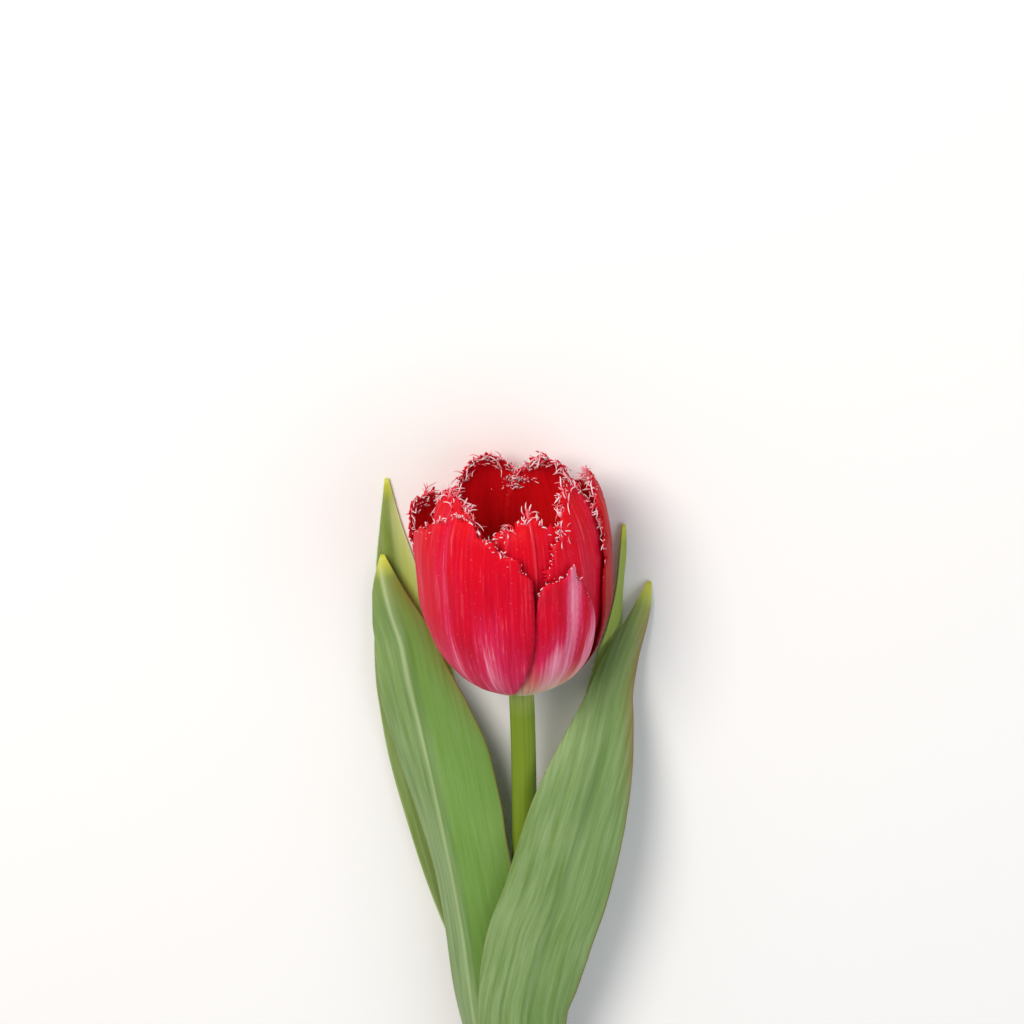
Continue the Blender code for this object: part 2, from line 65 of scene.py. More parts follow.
def through(rows, x, column=1):
    # a smooth curve through rows that start with x, without overshoot
    if x <= rows[0][0]:
        return rows[0][column]
    if x >= rows[-1][0]:
        return rows[-1][column]
    i = max(j for j in range(len(rows) - 1) if rows[j][0] <= x)
    slopes = {}
    for j in range(max(0, i - 1), min(len(rows) - 1, i + 2)):
        slopes[j] = (rows[j + 1][column] - rows[j][column]) / (rows[j + 1][0] - rows[j][0])
    ends = []
    for j in (i, i + 1):
        before = slopes[max(0, j - 1)]
        after = slopes[min(j, len(rows) - 2)]
        ends.append(0.0 if before * after <= 0 else 2 * before * after / (before + after))
    d = rows[i + 1][0] - rows[i][0]
    t = (x - rows[i][0]) / d
    return (
        rows[i][column] * (1 + 2 * t) * (1 - t) ** 2
        + ends[0] * d * t * (1 - t) ** 2
        + rows[i + 1][column] * t * t * (3 - 2 * t)
        + ends[1] * d * t * t * (t - 1)
    )


def linear(hexCode):
    # sRGB hex to the linear values that Blender's sockets take
    out = []
    for i in (0, 2, 4):
        c = int(hexCode[i:i + 2], 16) / 255
        out.append(c / 12.92 if c <= 0.04045 else ((c + 0.055) / 1.055) ** 2.4)
    return (*out, 1.0)


def addNode(tree, kind, settings=None, links=None):
    # one node, its settings or socket values, and what feeds its sockets
    node = tree.nodes.new(kind)
    for key, value in (settings or {}).items():
        if isinstance(key, str) and hasattr(node, key):
            setattr(node, key, value)
        else:
            node.inputs[key].default_value = value
    for key, source in (links or {}).items():
        tree.links.new(source, node.inputs[key])
    return node


def newMaterial(name, *marks):
    # a material, its tree, its shader, and the marks that it reads from the mesh
    material = bpy.data.materials.new(name)
    material.use_nodes = True
    tree = material.node_tree
    read = [addNode(tree, "ShaderNodeAttribute", {"attribute_name": mark}).outputs["Fac"] for mark in marks]
    return (material, tree, tree.nodes["Principled BSDF"], *read)


def surfacePlace(tree, acrossPerMm, alongPerMm):
    # the piece's own map, scaled to a pattern's repeats in a mm across and along it
    uv = addNode(tree, "ShaderNodeUVMap", {"uv_map": "surface"})
    scale = (acrossPerMm * mapMm, alongPerMm * mapMm, 1.0)
    placed = addNode(tree, "ShaderNodeMapping", {"Scale": scale}, {"Vector": uv.outputs["UV"]})
    return placed.outputs["Vector"]


def patternOf(tree, acrossPerMm, alongPerMm, detail, roughness):
    # an uneven pattern that lies on the surface
    return addNode(
        tree, "ShaderNodeTexNoise", {"Scale": 1.0, "Detail": detail, "Roughness": roughness},
        {"Vector": surfacePlace(tree, acrossPerMm, alongPerMm)}).outputs["Fac"]


def wandering(tree, along, pattern, share=0.3):
    # the mark of length, moved to and fro by a pattern, so that colours don't change in straight lines
    shift = addNode(
        tree, "ShaderNodeMath", {"operation": "MULTIPLY_ADD", 1: share, 2: -share / 2}, {0: pattern})
    return addNode(
        tree, "ShaderNodeMath", {"operation": "ADD", "use_clamp": True},
        {0: along, 1: shift.outputs[0]}).outputs[0]


def colourAlong(tree, stops, place):
    # the ground colour, which changes along the piece
    ramp = addNode(tree, "ShaderNodeValToRGB", links={"Fac": place})
    elements = ramp.color_ramp.elements
    while len(elements) > 1:
        elements.remove(elements[-1])
    for i, (spot, hexCode) in enumerate(stops):
        element = elements[0] if i == 0 else elements.new(spot)
        element.position = spot
        element.color = linear(hexCode)
    return ramp.outputs["Color"]


def coat(tree, under, pattern, hexCode, start=0.0, full=1.0, most=1.0):
    # a colour over another: none of it where the pattern is at start, and its most where that is at full
    amount = addNode(
        tree, "ShaderNodeMapRange", {"From Min": start, "From Max": full, "To Max": most},
        {"Value": pattern})
    return addNode(
        tree, "ShaderNodeMix", {"data_type": "RGBA", 7: linear(hexCode)},
        {0: amount.outputs["Result"], 6: under}).outputs[2]


def finishSkin(tree, shader, s, colour, height=None, gloss=None):
    # the colour, relief and gloss of a skin, and what is the same all over it
    tree.links.new(colour, shader.inputs["Base Color"])
    if height:
        bump = addNode(tree, "ShaderNodeBump", s["bump"], {"Height": height})
        tree.links.new(bump.outputs["Normal"], shader.inputs["Normal"])
    if gloss:
        rough = addNode(tree, "ShaderNodeMapRange", s["gloss"], {"Value": gloss})
        tree.links.new(rough.outputs["Result"], shader.inputs["Roughness"])
    for key, value in s["shader"].items():
        shader.inputs[key].default_value = value


# In each finish, a pattern is its repeats in a mm across and along, its detail and its roughness,
# and a coat is its colour, the pattern's values where it starts and is full, and how much of it there is

# Living petal skin with wax on it: satin red, streaked with pale pink along its veins
petalFinish = {
    "ramp": ((0.0, "A83C50"), (0.12, "B22C48"), (0.25, "B81A38"), (0.45, "C0082C"),
             (0.68, "CC0426"), (0.88, "D2021C"), (1.0, "D40818")),
    # painted shade: the same ground in darker reds, for the one petal that is coloured as if it lay in
    # shadow
    "shadedRamp": ((0.0, "701020"), (0.2, "7A0616"), (0.5, "90040C"), (0.8, "B4060C"), (1.0, "C40A10")),
    "streaks": (0.5 / 0.9, 0.022, 4.0, 0.6),         # streaks of wax 0.9 mm wide and some 25 mm long
    "fibres": (0.5 / 0.45, 0.05, 3.0, 0.7),          # veins 0.45 mm apart, drawn a little coarse
    "clouds": (0.09, 0.05, 2.0, 0.5),                # patches of about 6 by 10 mm
    "specks": (2.4, 1.2, 2.0, 0.5),                  # flecks of wax of 0.2 by 0.4 mm
    "lift": {"operation": "MULTIPLY_ADD", 1: 0.75, 2: -0.12},
    "rose": ("D42C5C", 0.42, 0.85, 0.75),            # thin wax over the red
    "wax": ("EA93AE", 0.82, 1.3, 0.9),               # thick wax
    "threads": {"From Min": 0.56, "From Max": 0.74, "To Max": 0.55},
    "waxed": {"operation": "ADD", "use_clamp": True, 1: 0.14},
    "pale": "F4C2CF",
    "flecks": ("F4C2CF", 0.69, 0.78, 0.3),
    "foot": "D8D6AC",                                # the cream claw
    "veins": ("8A0420", 0.5, 0.3, 0.4),
    "bump": {"Strength": 0.35, "Distance": 0.00012},
    "gloss": {"From Min": 0.3, "From Max": 0.75, "To Min": 0.44, "To Max": 0.64},
    "shader": {"IOR": 1.4, "Specular IOR Level": 0.12, "Subsurface Weight": 0.12,
               "Subsurface Radius": (1.0, 0.12, 0.1), "Subsurface Scale": 0.0012},
}


def petalOutside(name, rampKey):
    s = petalFinish
    material, tree, shader, along, blush, foot = newMaterial(name, "along", "blush", "foot")
    streaks, fibres, clouds, specks = (
        patternOf(tree, *s[key]) for key in ("streaks", "fibres", "clouds", "specks"))
    colour = colourAlong(tree, s[rampKey], wandering(tree, along, clouds))
    # thin and rosy wax at first, and where the blush is strong its streaks merge into a pale bloom
    lift = addNode(tree, "ShaderNodeMath", s["lift"], {0: blush})
    reach = addNode(tree, "ShaderNodeMath", {"operation": "ADD"}, {0: streaks, 1: lift.outputs[0]})
    colour = coat(tree, colour, reach.outputs[0], *s["rose"])
    colour = coat(tree, colour, reach.outputs[0], *s["wax"])
    # fine pale threads, fullest in the wax
    thread = addNode(tree, "ShaderNodeMapRange", s["threads"], {"Value": fibres})
    waxed = addNode(tree, "ShaderNodeMath", s["waxed"], {0: blush})
    pale = addNode(
        tree, "ShaderNodeMath", {"operation": "MULTIPLY"},
        {0: thread.outputs["Result"], 1: waxed.outputs[0]})
    colour = coat(tree, colour, pale.outputs[0], s["pale"])
    colour = coat(tree, colour, specks, *s["flecks"])
    colour = coat(tree, colour, foot, s["foot"])
    colour = coat(tree, colour, fibres, *s["veins"])
    finishSkin(tree, shader, s, colour, fibres, streaks)
    return material


# The petals' inner skin has no wax: a clear glowing red that yellows at the claw
insideFinish = {
    "ramp": ((0.0, "B99C3A"), (0.1, "A5301A"), (0.2, "B4060A"), (0.7, "CC040A"), (1.0, "D4081A")),
    "fibres": (0.9, 0.06, 3.0, 0.6),                 # veins about 1 mm apart
    "dark": ("960410", 0.52, 0.3, 0.4),
    "bump": {"Strength": 0.3, "Distance": 0.0001},
    "shader": {"Roughness": 0.46, "IOR": 1.4, "Subsurface Weight": 0.15,
               "Subsurface Radius": (1.0, 0.1, 0.08), "Subsurface Scale": 0.0015},
}

# Smooth juicy stem: satin yellow-green, faintly ribbed along its length
stemFinish = {
    "ramp": ((0.0, "8E9C55"), (0.12, "7B9038"), (0.6, "6F8524"), (0.95, "748A28"), (1.0, "A9B36E")),
    "fibres": (1.1, 0.012, 3.0, 0.6),                # ribs under 1 mm apart that run far
    "dark": ("4F681A", 0.55, 0.3, 0.45),
    "bump": {"Strength": 0.3, "Distance": 0.0002},
    "shader": {"Roughness": 0.46, "IOR": 1.4, "Specular IOR Level": 0.14, "Subsurface Weight": 0.15,
               "Subsurface Radius": (0.5, 1.0, 0.2), "Subsurface Scale": 0.0015},
}


def fibrousSkin(name, s):
    # juicy skin over darker fibres
    material, tree, shader, along = newMaterial(name, "along")
    fibres = patternOf(tree, *s["fibres"])
    colour = coat(tree, colourAlong(tree, s["ramp"], along), fibres, *s["dark"])
    finishSkin(tree, shader, s, colour, fibres)
    return material


# Hairs of bare petal tissue: red where they leave the edge, pale and slightly glassy at the tip
hairFinish = {
    "ramp": ((0.0, "C80A20"), (0.2, "D8263E"), (0.38, "EE7C90"), (0.62, "FBC6CF"), (1.0, "FFECEB")),
    "red": "D81830",                                 # some stay red all the way
    "shader": {"Roughness": 0.35, "IOR": 1.38, "Subsurface Weight": 0.45,
               "Subsurface Radius": (1.0, 0.3, 0.35), "Subsurface Scale": 0.0008},
}


def fringeTissue():
    s = hairFinish
    material, tree, shader, along, tone = newMaterial("paleFringeTissue", "along", "blush")
    finishSkin(tree, shader, s, coat(tree, colourAlong(tree, s["ramp"], along), tone, s["red"]))
    return material


# Glaucous leaf skin: matt grey wax over green, with veins that run the whole length
leafFinish = {
    "ramp": ((0.0, "7C9152"), (0.25, "6C8A45"), (0.7, "67853F"), (0.92, "6F8C38"),
             (0.97, "97A83A"), (1.0, "C4C450")),
    "veins": (0.5 / 0.8, 0.016, 3.0, 0.65),          # 0.8 mm apart
    "bands": (0.15, 0.009, 3.0, 0.55),               # broad shades, 3 mm and more wide
    "mottle": (0.6, 0.035, 5.0, 0.65),               # where the wax has rubbed off
    "bloom": ("93AA78", 0.34, 0.62),                 # the grey wax
    "shade": ("47682A", 0.5, 0.3, 0.5),
    "lines": ("47682A", 0.55, 0.32, 0.38),
    "sunlit": "608C26",                              # a side without wax
    "young": "AABC3E",
    "rib": "B4C592",
    "edge": "8E5A34",                                # the thin brown margin
    "youngEdge": "C9CF95",
    "tip": ("C6CC3C", 0.965, 0.995, 0.9),            # by length
    "bandHeight": 1.2,                               # the bands' relief next to the veins'
    "bump": {"Strength": 0.45, "Distance": 0.00025},
    "gloss": {"From Min": 0.3, "From Max": 0.7, "To Min": 0.42, "To Max": 0.58},
    "shader": {"IOR": 1.42, "Subsurface Weight": 0.08, "Subsurface Radius": (0.4, 1.0, 0.2),
               "Subsurface Scale": 0.001},
}


def leafSkin(name, waxAmount, warmth):
    s = leafFinish
    material, tree, shader, along, rim, rib, sunny = newMaterial(name, "along", "rim", "blush", "sunny")
    veins, bands, mottle = (patternOf(tree, *s[key]) for key in ("veins", "bands", "mottle"))
    colour = coat(tree, colourAlong(tree, s["ramp"], along), mottle, *s["bloom"], waxAmount)
    colour = coat(tree, colour, bands, *s["shade"])
    colour = coat(tree, colour, veins, *s["lines"])
    colour = coat(tree, colour, sunny, s["young" if warmth else "sunlit"])
    if warmth:
        colour = addNode(
            tree, "ShaderNodeMix", {"data_type": "RGBA", 0: warmth, 7: linear(s["young"])},
            {6: colour}).outputs[2]
    colour = coat(tree, colour, rib, s["rib"])
    colour = coat(tree, colour, rim, s["youngEdge" if warmth else "edge"])
    colour = coat(tree, colour, along, *s["tip"])
    height = addNode(
        tree, "ShaderNodeMath", {"operation": "MULTIPLY_ADD", 1: s["bandHeight"]}, {0: bands, 2: veins})
    finishSkin(tree, shader, s, colour, height.outputs[0], mottle)
    return material


# Wet cut face: pale pith inside a green rind, with a scatter of darker vessels
fleshFinish = {
    "ramp": ((0.0, "D9E0A8"), (0.7, "C6D28C"), (0.9, "9DB455"), (1.0, "7E9A3A")),
    "cells": (1.6, 1.6),                             # vessels about 0.6 mm apart
    "vessels": ("7C8F3E", 0.3, 0.12, 0.7),
    "shader": {"Roughness": 0.22},
}


def cutFlesh():
    s = fleshFinish
    material, tree, shader, along = newMaterial("wetStemFlesh", "along")
    cells = addNode(
        tree, "ShaderNodeTexVoronoi", {"Scale": 1.0, "feature": "F1"},
        {"Vector": surfacePlace(tree, *s["cells"])})
    colour = coat(tree, colourAlong(tree, s["ramp"], along), cells.outputs["Distance"], *s["vessels"])
    finishSkin(tree, shader, s, colour)
    return material


# Grainy tissue: the fleshy ovary, pale at its lobes, and the anthers under dark pollen dust
tissues = {
    "paleGreenOvary": {
        "ramp": ((0.0, "A9B264"), (0.7, "B9C07A"), (0.85, "E3DDA6"), (1.0, "F0EBC4")),
        "grains": (1 / 0.7, 1 / 0.7, 4.0, 0.7),      # 0.7 mm
        "bump": {"Strength": 0.5, "Distance": 0.0002},
        "shader": {"Roughness": 0.45},
    },
    "dustyAnther": {
        "ramp": ((0.0, "C9B648"), (0.3, "6B5A2E"), (0.45, "2A1A26"), (1.0, "1C1220")),
        "grains": (1 / 0.35, 1 / 0.35, 4.0, 0.7),    # 0.35 mm
        "bump": {"Strength": 0.5, "Distance": 0.0002},
        "shader": {"Roughness": 0.85},
    },
}


def grainyTissue(name):
    s = tissues[name]
    material, tree, shader, along = newMaterial(name, "along")
    grains = patternOf(tree, *s["grains"])
    finishSkin(tree, shader, s, colourAlong(tree, s["ramp"], wandering(tree, along, grains)), grains)
    return material


def inBox(v):
    # a point in metres, kept inside the solid model's box
    place = (v + middleShift) * mm
    return [min(high, max(low, c)) for c, low, high in zip(place, *solidBox)]


def addPiece(name, vertices, faces, materials, slots, marks, flat, node):
    # a smooth mesh with its marks at each point, its surface map, and its place in the frame
    mesh = bpy.data.meshes.new(name)
    mesh.from_pydata([inBox(v) for v in vertices], [], faces)
    for material in materials:
        mesh.materials.append(material)
    mesh.polygons.foreach_set("material_index", slots)
    mesh.polygons.foreach_set("use_smooth", [True] * len(faces))
    for key, values in marks.items():
        mesh.attributes.new(key, "FLOAT", "POINT").data.foreach_set("value", values)
    uv = mesh.uv_layers.new(name="surface")
    corners = [0] * len(mesh.loops)
    mesh.loops.foreach_get("vertex_index", corners)
    uv.data.foreach_set("uv", [c for i in corners for c in (flat[i][0] / mapMm + 0.5, flat[i][1] / mapMm)])
    mesh.update()
    piece = bpy.data.objects.new(name, mesh)
    bpy.context.collection.objects.link(piece)
    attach(piece, "root")
    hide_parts(node)


# The bloom's own frame: an axis that rises a little from the table
bloom = {
    "profile": ((0.0, 4.7), (2.5, 10.6), (8.0, 17.7), (17.0, 23.1), (30.0, 26.0),
                (42.0, 26.1), (54.0, 24.5), (62.5, 20.6), (70.0, 15.5)),
    "base": Vector((0.0, 0.0, 21.55)),
    "tilt": 7.0,
    "lean": 2.5,
    "whorls": (0.0, 1.75, 3.5),
    "thickness": 0.5,
    "solidThickness": 0.62,
    "cellMm": 1.35,      # size of the petals' triangles, and at their edges
    "edgeMm": 0.55,
    "roll": 22.0,        # mm: the radius that a petal's flat map is rolled at
    "longest": 70.0,     # mm of petal over which its colours run
    "spineRib": -0.5,    # a rib that stands out more than this ends in a spine
}
tilt = math.radians(bloom["tilt"])
lean = math.radians(bloom["lean"])
axis = Vector((-math.sin(lean), math.cos(lean) * math.cos(tilt), math.cos(lean) * math.sin(tilt)))
upward = Vector((0.0, -math.sin(tilt), math.cos(tilt)))
sideways = axis.cross(upward)


def bloomPoint(radius, height, angle):
    a = math.radians(angle)
    return bloom["base"] + axis * height + (upward * math.cos(a) + sideways * math.sin(a)) * radius


# heights up the bloom, and the length of petal that reaches each
stepsPerMm = 4
meridian = [(0.0, 0.0)]
for step in range(1, int(bloom["profile"][-1][0] * stepsPerMm) + 1):
    h0, h1 = (step - 1) / stepsPerMm, step / stepsPerMm
    rise = through(bloom["profile"], h1) - through(bloom["profile"], h0)
    meridian.append((h1, meridian[-1][1] + math.hypot(rise, h1 - h0)))


def lengthAt(height):
    i = min(len(meridian) - 2, max(0, int(height * stepsPerMm)))
    (h0, s0), (h1, s1) = meridian[i], meridian[i + 1]
    return s0 + (s1 - s0) * (height - h0) / (h1 - h0)


def heightAt(length):
    low, high = 0, len(meridian) - 1
    while high - low > 1:
        middle = (low + high) // 2
        if meridian[middle][1] <= length:
            low = middle
        else:
            high = middle
    (h0, s0), (h1, s1) = meridian[low], meridian[low + 1]
    return h0 + (h1 - h0) * (length - s0) / (s1 - s0)


def whorlPoint(length, angle, depth):
    # a point at a length of petal, an angle round the axis, and a depth in from the outermost whorl
    h = heightAt(length)
    r = through(bloom["profile"], h)
    e = 0.1
    dr = through(bloom["profile"], h + e) - through(bloom["profile"], h - e)
    dh = 2 * e
    if h < e:
        (h0, r0), (h1, r1) = bloom["profile"][:2]
        dr = (r1 - r0) / (h1 - h0) * dh
    size = math.hypot(dr, dh)
    return bloomPoint(r - depth * dh / size, h + depth * dr / size, angle)


# Each petal: its whorl, its outline as (degrees, height), how far its tip and its edges lean out (-)
# or in (+), the depth of its rib, its fringe as (the height where it starts on the left, on the right,
# the length of its hairs), and its wax as bands of (mm across at the claw, mm across at the tip, width,
# from, to, strength), from and to as parts of its length. A tuck is how deep the left edge slips under
# the next petal, and the height where that ends. A foot is how long the cream claw is. A tuft is a
# patch of hairs inside: degrees, height, width, depth and number
petals = {
    "petal_outer_1": dict(layer=0, outline=(
        (-84, 0), (-95, 8), (-98, 20), (-98, 33), (-95, 42), (-88, 48), (-76, 51.5), (-63, 55),
        (-49, 58.3), (-39, 60.3), (-31, 59.8), (-20, 57), (-8, 53.5), (1, 51), (8, 46.5),
        (11, 42), (11, 30), (8, 18), (1, 10), (-7, 5), (-15, 2), (-24, 0)),
        tip=-0.7, edges=(-0.6, 0.15), rib=-0.25, fringe=(51, 50, 1.3), seed=3, foot=15.0, wax=(
            (-3, -2, 2.4, 0.1, 1.0, 0.4), (-13, -16, 3.0, 0.1, 0.8, 0.35),
            (8, 10, 4.0, 0.0, 0.62, 0.45), (0, 0, 40, 0.0, 0.42, 0.4))),
    "petal_outer_2": dict(layer=0, outline=(
        (-20, 0), (-10, 5), (0, 12), (5.5, 20), (8.5, 27), (12.3, 34), (14.5, 40.5), (18, 43),
        (23, 43.5), (28, 44), (33, 45), (37, 46), (40, 43), (43, 39.8), (47.5, 35.8), (51.5, 31.8),
        (54, 25), (56.5, 17), (57, 9), (55, 3), (53, 0)),
        tip=-0.3, edges=(0.0, -0.2), rib=0.2, fringe=(47, 43, 1.2), tuck=(1.2, 36), seed=5,
        foot=28.0, wax=(
            (1.0, 3.5, 2.4, 0.1, 1.05, 1.15), (8, 12, 3.4, 0.1, 0.9, 1.25),
            (-4, -1, 3.8, 0.05, 0.6, 1.0), (3.5, 7.0, 0.9, 0.15, 1.0, -0.5))),
    "petal_outer_3": dict(layer=0, outline=(
        (66, 0), (68, 8), (67, 20), (64, 28), (66, 37), (71, 43), (69, 46.5), (76, 49), (75, 54),
        (81, 58.5), (95, 60.2), (110, 59.3), (122, 56), (138, 51), (152, 45), (165, 37), (171, 28),
        (172, 18), (170, 8), (166, 0)),
        tip=-0.3, edges=(0.3, 0.0), rib=0.2, fringe=(46, 34, 3.2), seed=7,
        wax=((0, 0, 4.0, 0.0, 0.8, 0.05),)),
    "petal_outer_4": dict(layer=0, outline=(
        (-174, 0), (-176, 8), (-176, 20), (-172, 31), (-162, 39), (-148, 44.5), (-134, 48),
        (-122, 50.5), (-113, 50.5), (-107, 45), (-105, 36), (-105, 26), (-104, 14), (-102, 6),
        (-100, 0)),
        tip=-3.4, edges=(0.0, -0.8), rib=0.2, fringe=(34, 46, 3.2), seed=11,
        wax=((0, 0, 4.0, 0.0, 0.8, 0.8), (0, 0, 40, 0.0, 0.35, 0.5))),
    "petal_inner_1": dict(layer=1, outline=(
        (22, 0), (20, 8), (20, 24), (21, 38), (24, 46.5), (28, 51), (36, 55.5), (44, 60.5),
        (53, 64.5), (62, 65), (72, 61), (82, 54), (87, 44), (88, 32), (88, 18), (86, 8), (82, 0)),
        tip=0.3, edges=(0.0, 0.2), rib=0.15, fringe=(38, 50, 3.4), seed=13,
        wax=((-1, -1, 1.6, 0.1, 0.9, 0.35), (5, 7, 3.0, 0.3, 0.95, 0.2))),
    "petal_inner_2": dict(layer=1, outline=(
        (-182, 0), (-185, 8), (-187, 24), (-187, 38), (-186, 47), (-182, 53), (-176, 56.5), (-168, 59.5),
        (-160, 61), (-151, 60.5), (-143, 55), (-136, 49), (-126, 43), (-114, 36), (-107, 26), (-105, 16),
        (-106, 8), (-108, 0)),
        tip=-0.5, edges=(0.2, 0.2), rib=0.15, fringe=(48, 40, 3.4), seed=17,
        wax=((0, 0, 4.0, 0.0, 0.9, 0.6),)),
    "petal_inner_3": dict(layer=2, outline=(
        (-8, 0), (-12, 8), (-15, 24), (-17, 38), (-18, 48), (-17, 54), (-12, 57.2), (-4, 58.6),
        (5, 59.6), (10, 60.6), (14.5, 62.6), (19, 60.4), (25, 58.2), (33, 57), (40, 55), (45, 50),
        (47, 42), (47, 28), (45, 14), (41, 5), (36, 0)),
        tip=-0.2, edges=(0.3, 0.3), rib=-0.55, fringe=(52, 46, 2.8), tuck=(1.0, 70), seed=19,
        wax=((0, 1.0, 0.8, 0.7, 1.1, 0.05),)),
    "petal_inner_4": dict(layer=2, outline=(
        (-104, 0), (-108, 8), (-110, 22), (-109, 38), (-104, 50), (-95, 58), (-82, 62.5),
        (-67, 63.5), (-50, 62), (-36, 60), (-27, 57), (-23, 51), (-22, 40), (-21, 26), (-22, 12),
        (-28, 0)),
        tip=0.5, edges=(0.4, 0.2), rib=0.3, fringe=(40, 54, 3.4), seed=23,
        wax=((0, 0, 3.0, 0.3, 0.95, 0.5),)),
    "petal_inner_5": dict(layer=2, outline=(
        (104, 0), (98, 8), (96, 22), (98, 38), (104, 47), (113, 53), (124, 58.5), (134, 63.5),
        (143, 65), (153, 63), (163, 60), (173, 57), (181, 52), (186, 45), (188, 34), (188, 20),
        (186, 8), (180, 0)),
        tip=0.3, edges=(0.3, 0.6), rib=0.3, fringe=(42, 57, 3.4), tuft=(178, 55, 5, 5, 60), seed=29,
        wax=((0, 0, 3.0, 0.3, 0.95, 0.5),)),
}


# Forms that all petals share: heights are in mm, and a wave also has its radians in a mm
petalRelief = {
    "edge": 0.45,            # part of the half width where the edges begin to lean
    "hem": (4.5, 3.5),       # mm from the edge where a tuck begins, and over which it deepens
    "tuckFade": 6.0,
    "ribMm": 1.6,
    "ripple": (0.12, 0.9),
    "folds": (0.07, 1.9),    # these run with the veins
    "crinkle": (0.3, 1.25),  # the top crinkles like a frill
}


class Petal:
    # a flat map of mm across and mm along the petal, and its place in space
    def __init__(
            self, layer, outline, tip, edges, rib, fringe, seed, wax,
            tuck=(0.0, 0.0), foot=11.0, tuft=None):
        self.layer = layer
        self.tuck, self.tuckTop = tuck
        self.foot, self.tuft = foot, tuft
        self.tipLean, self.edges, self.rib = tip, edges, rib
        self.fringeLeft, self.fringeRight, self.fringeLength = fringe
        self.seed, self.wax = seed, wax
        self.middle = sum(p[0] for p in outline) / len(outline)
        facing = abs(self.middle) < 100
        self.outerShare = 0.35 if facing else 0.15   # hairs on the face that is seen from the front
        self.inward = 0.2 if facing else 0.55
        self.outline = [(self.acrossAt(a), lengthAt(h)) for a, h in outline]
        self.top = max(p[1] for p in self.outline)
        self.topHeight = max(p[1] for p in outline)
        self.topSide = max(self.outline, key=lambda p: p[1])[0]
        self.left = min(p[0] for p in self.outline)
        self.right = max(p[0] for p in self.outline)
        peak = max(range(len(self.outline)), key=lambda i: self.outline[i][1])
        self.leftSide = [(q[1], q[0]) for q in self.outline[:peak + 1]]

    def acrossAt(self, angle):
        return math.radians(angle - self.middle) * bloom["roll"]

    def leftAt(self, y):
        # where the left edge is at a length y
        for (y0, x0), (y1, x1) in zip(self.leftSide, self.leftSide[1:]):
            if y0 <= y <= y1 and y1 > y0:
                return x0 + (x1 - x0) * (y - y0) / (y1 - y0)
        return self.leftSide[0][1] if y <= self.leftSide[0][0] else self.leftSide[-1][1]

    def heightOf(self, y):
        return heightAt(max(0.0, min(y, self.top)))

    def depth(self, x, y):
        # how far in from the outermost whorl
        s = petalRelief
        up = min(1.0, max(0.0, y / self.top))
        across = (x - self.left) / (self.right - self.left) * 2 - 1
        side = self.edges[0] if across < 0 else self.edges[1]
        d = bloom["whorls"][self.layer]
        d += side * eased((abs(across) - s["edge"]) / (1 - s["edge"])) * eased((up - 0.2) / 0.5)
        d += self.tipLean * eased((up - 0.6) / 0.4)
        if self.tuck:
            # the left edge slips under the neighbour
            fade = 1 - eased((self.heightOf(y) - self.tuckTop) / s["tuckFade"])
            d += self.tuck * eased((self.leftAt(y) + s["hem"][0] - x) / s["hem"][1]) * fade
        d += self.rib * math.exp(-((x - self.topSide * up) / s["ribMm"]) ** 2) * eased((up - 0.08) / 0.2)
        for wave, phase, start, rise in (
                ("ripple", self.seed, 0.45, 0.4),
                ("folds", self.seed * 2 + up * 1.3, 0.1, 0.3),
                ("crinkle", self.seed * 1.7, 0.76, 0.22)):
            high, turns = s[wave]
            d += high * math.sin(x * turns + phase) * eased((up - start) / rise)
        return d

    def place(self, x, y, outward=0.0):
        angle = self.middle + math.degrees(x / bloom["roll"])
        p = whorlPoint(max(0.0, y), angle, self.depth(x, y) - outward)
        if y < 0:
            p = p - axis * -y
        low = 0.0 if outward > 0 else bloom["solidThickness"] / 2 + bloom["thickness"] / 2
        return Vector((p.x, p.y, max(low, p.z)))

    def blush(self, x, y):
        # how much wax is on the skin
        up = y / self.top
        total = 0.0
        for atClaw, atTip, width, start, end, strength in self.wax:
            centre = atClaw + (atTip - atClaw) * up
            band = math.exp(-((x - centre) / width) ** 2)
            fade = eased((up - start) / 0.12 + 0.5) * (1 - eased((up - end) / 0.3 + 0.5))
            total += strength * band * fade
        return min(1.0, max(0.0, total))

    def fringeRoom(self, p):
        # from 0, no hairs, to 1, long ones
        start = self.fringeLeft if p.x < self.topSide else self.fringeRight
        return eased((self.heightOf(p.y) - start + 12) / 16)


def smoothLine(points, pitch):
    # a rounded line through the points, in even steps
    fine = []
    for i in range(len(points) - 1):
        p0, p1 = Vector(points[max(0, i - 1)]), Vector(points[i])
        p2, p3 = Vector(points[i + 1]), Vector(points[min(len(points) - 1, i + 2)])
        for k in range(16):
            t = k / 16
            fine.append(0.5 * (
                2 * p1 + (p2 - p0) * t + (2 * p0 - 5 * p1 + 4 * p2 - p3) * t * t
                + (3 * p1 - p0 - 3 * p2 + p3) * t ** 3))
    fine.append(Vector(points[-1]))
    run = [0.0]
    for a, b in zip(fine, fine[1:]):
        run.append(run[-1] + (b - a).length)
    count = max(2, round(run[-1] / pitch))
    out, j = [], 0
    for k in range(count + 1):
        want = run[-1] * k / count
        while j < len(run) - 2 and run[j + 1] < want:
            j += 1
        t = (want - run[j]) / max(1e-9, run[j + 1] - run[j])
        out.append(fine[j].lerp(fine[j + 1], min(1.0, t)))
    return out


def insideLoop(point, loop):
    # whether a line to one side of the point meets the loop an odd number of times
    hit = False
    for a, b in zip(loop, loop[1:] + loop[:1]):
        if (a.y > point.y) != (b.y > point.y):
            if point.x < (b.x - a.x) * (point.y - a.y) / (b.y - a.y) + a.x:
                hit = not hit
    return hit


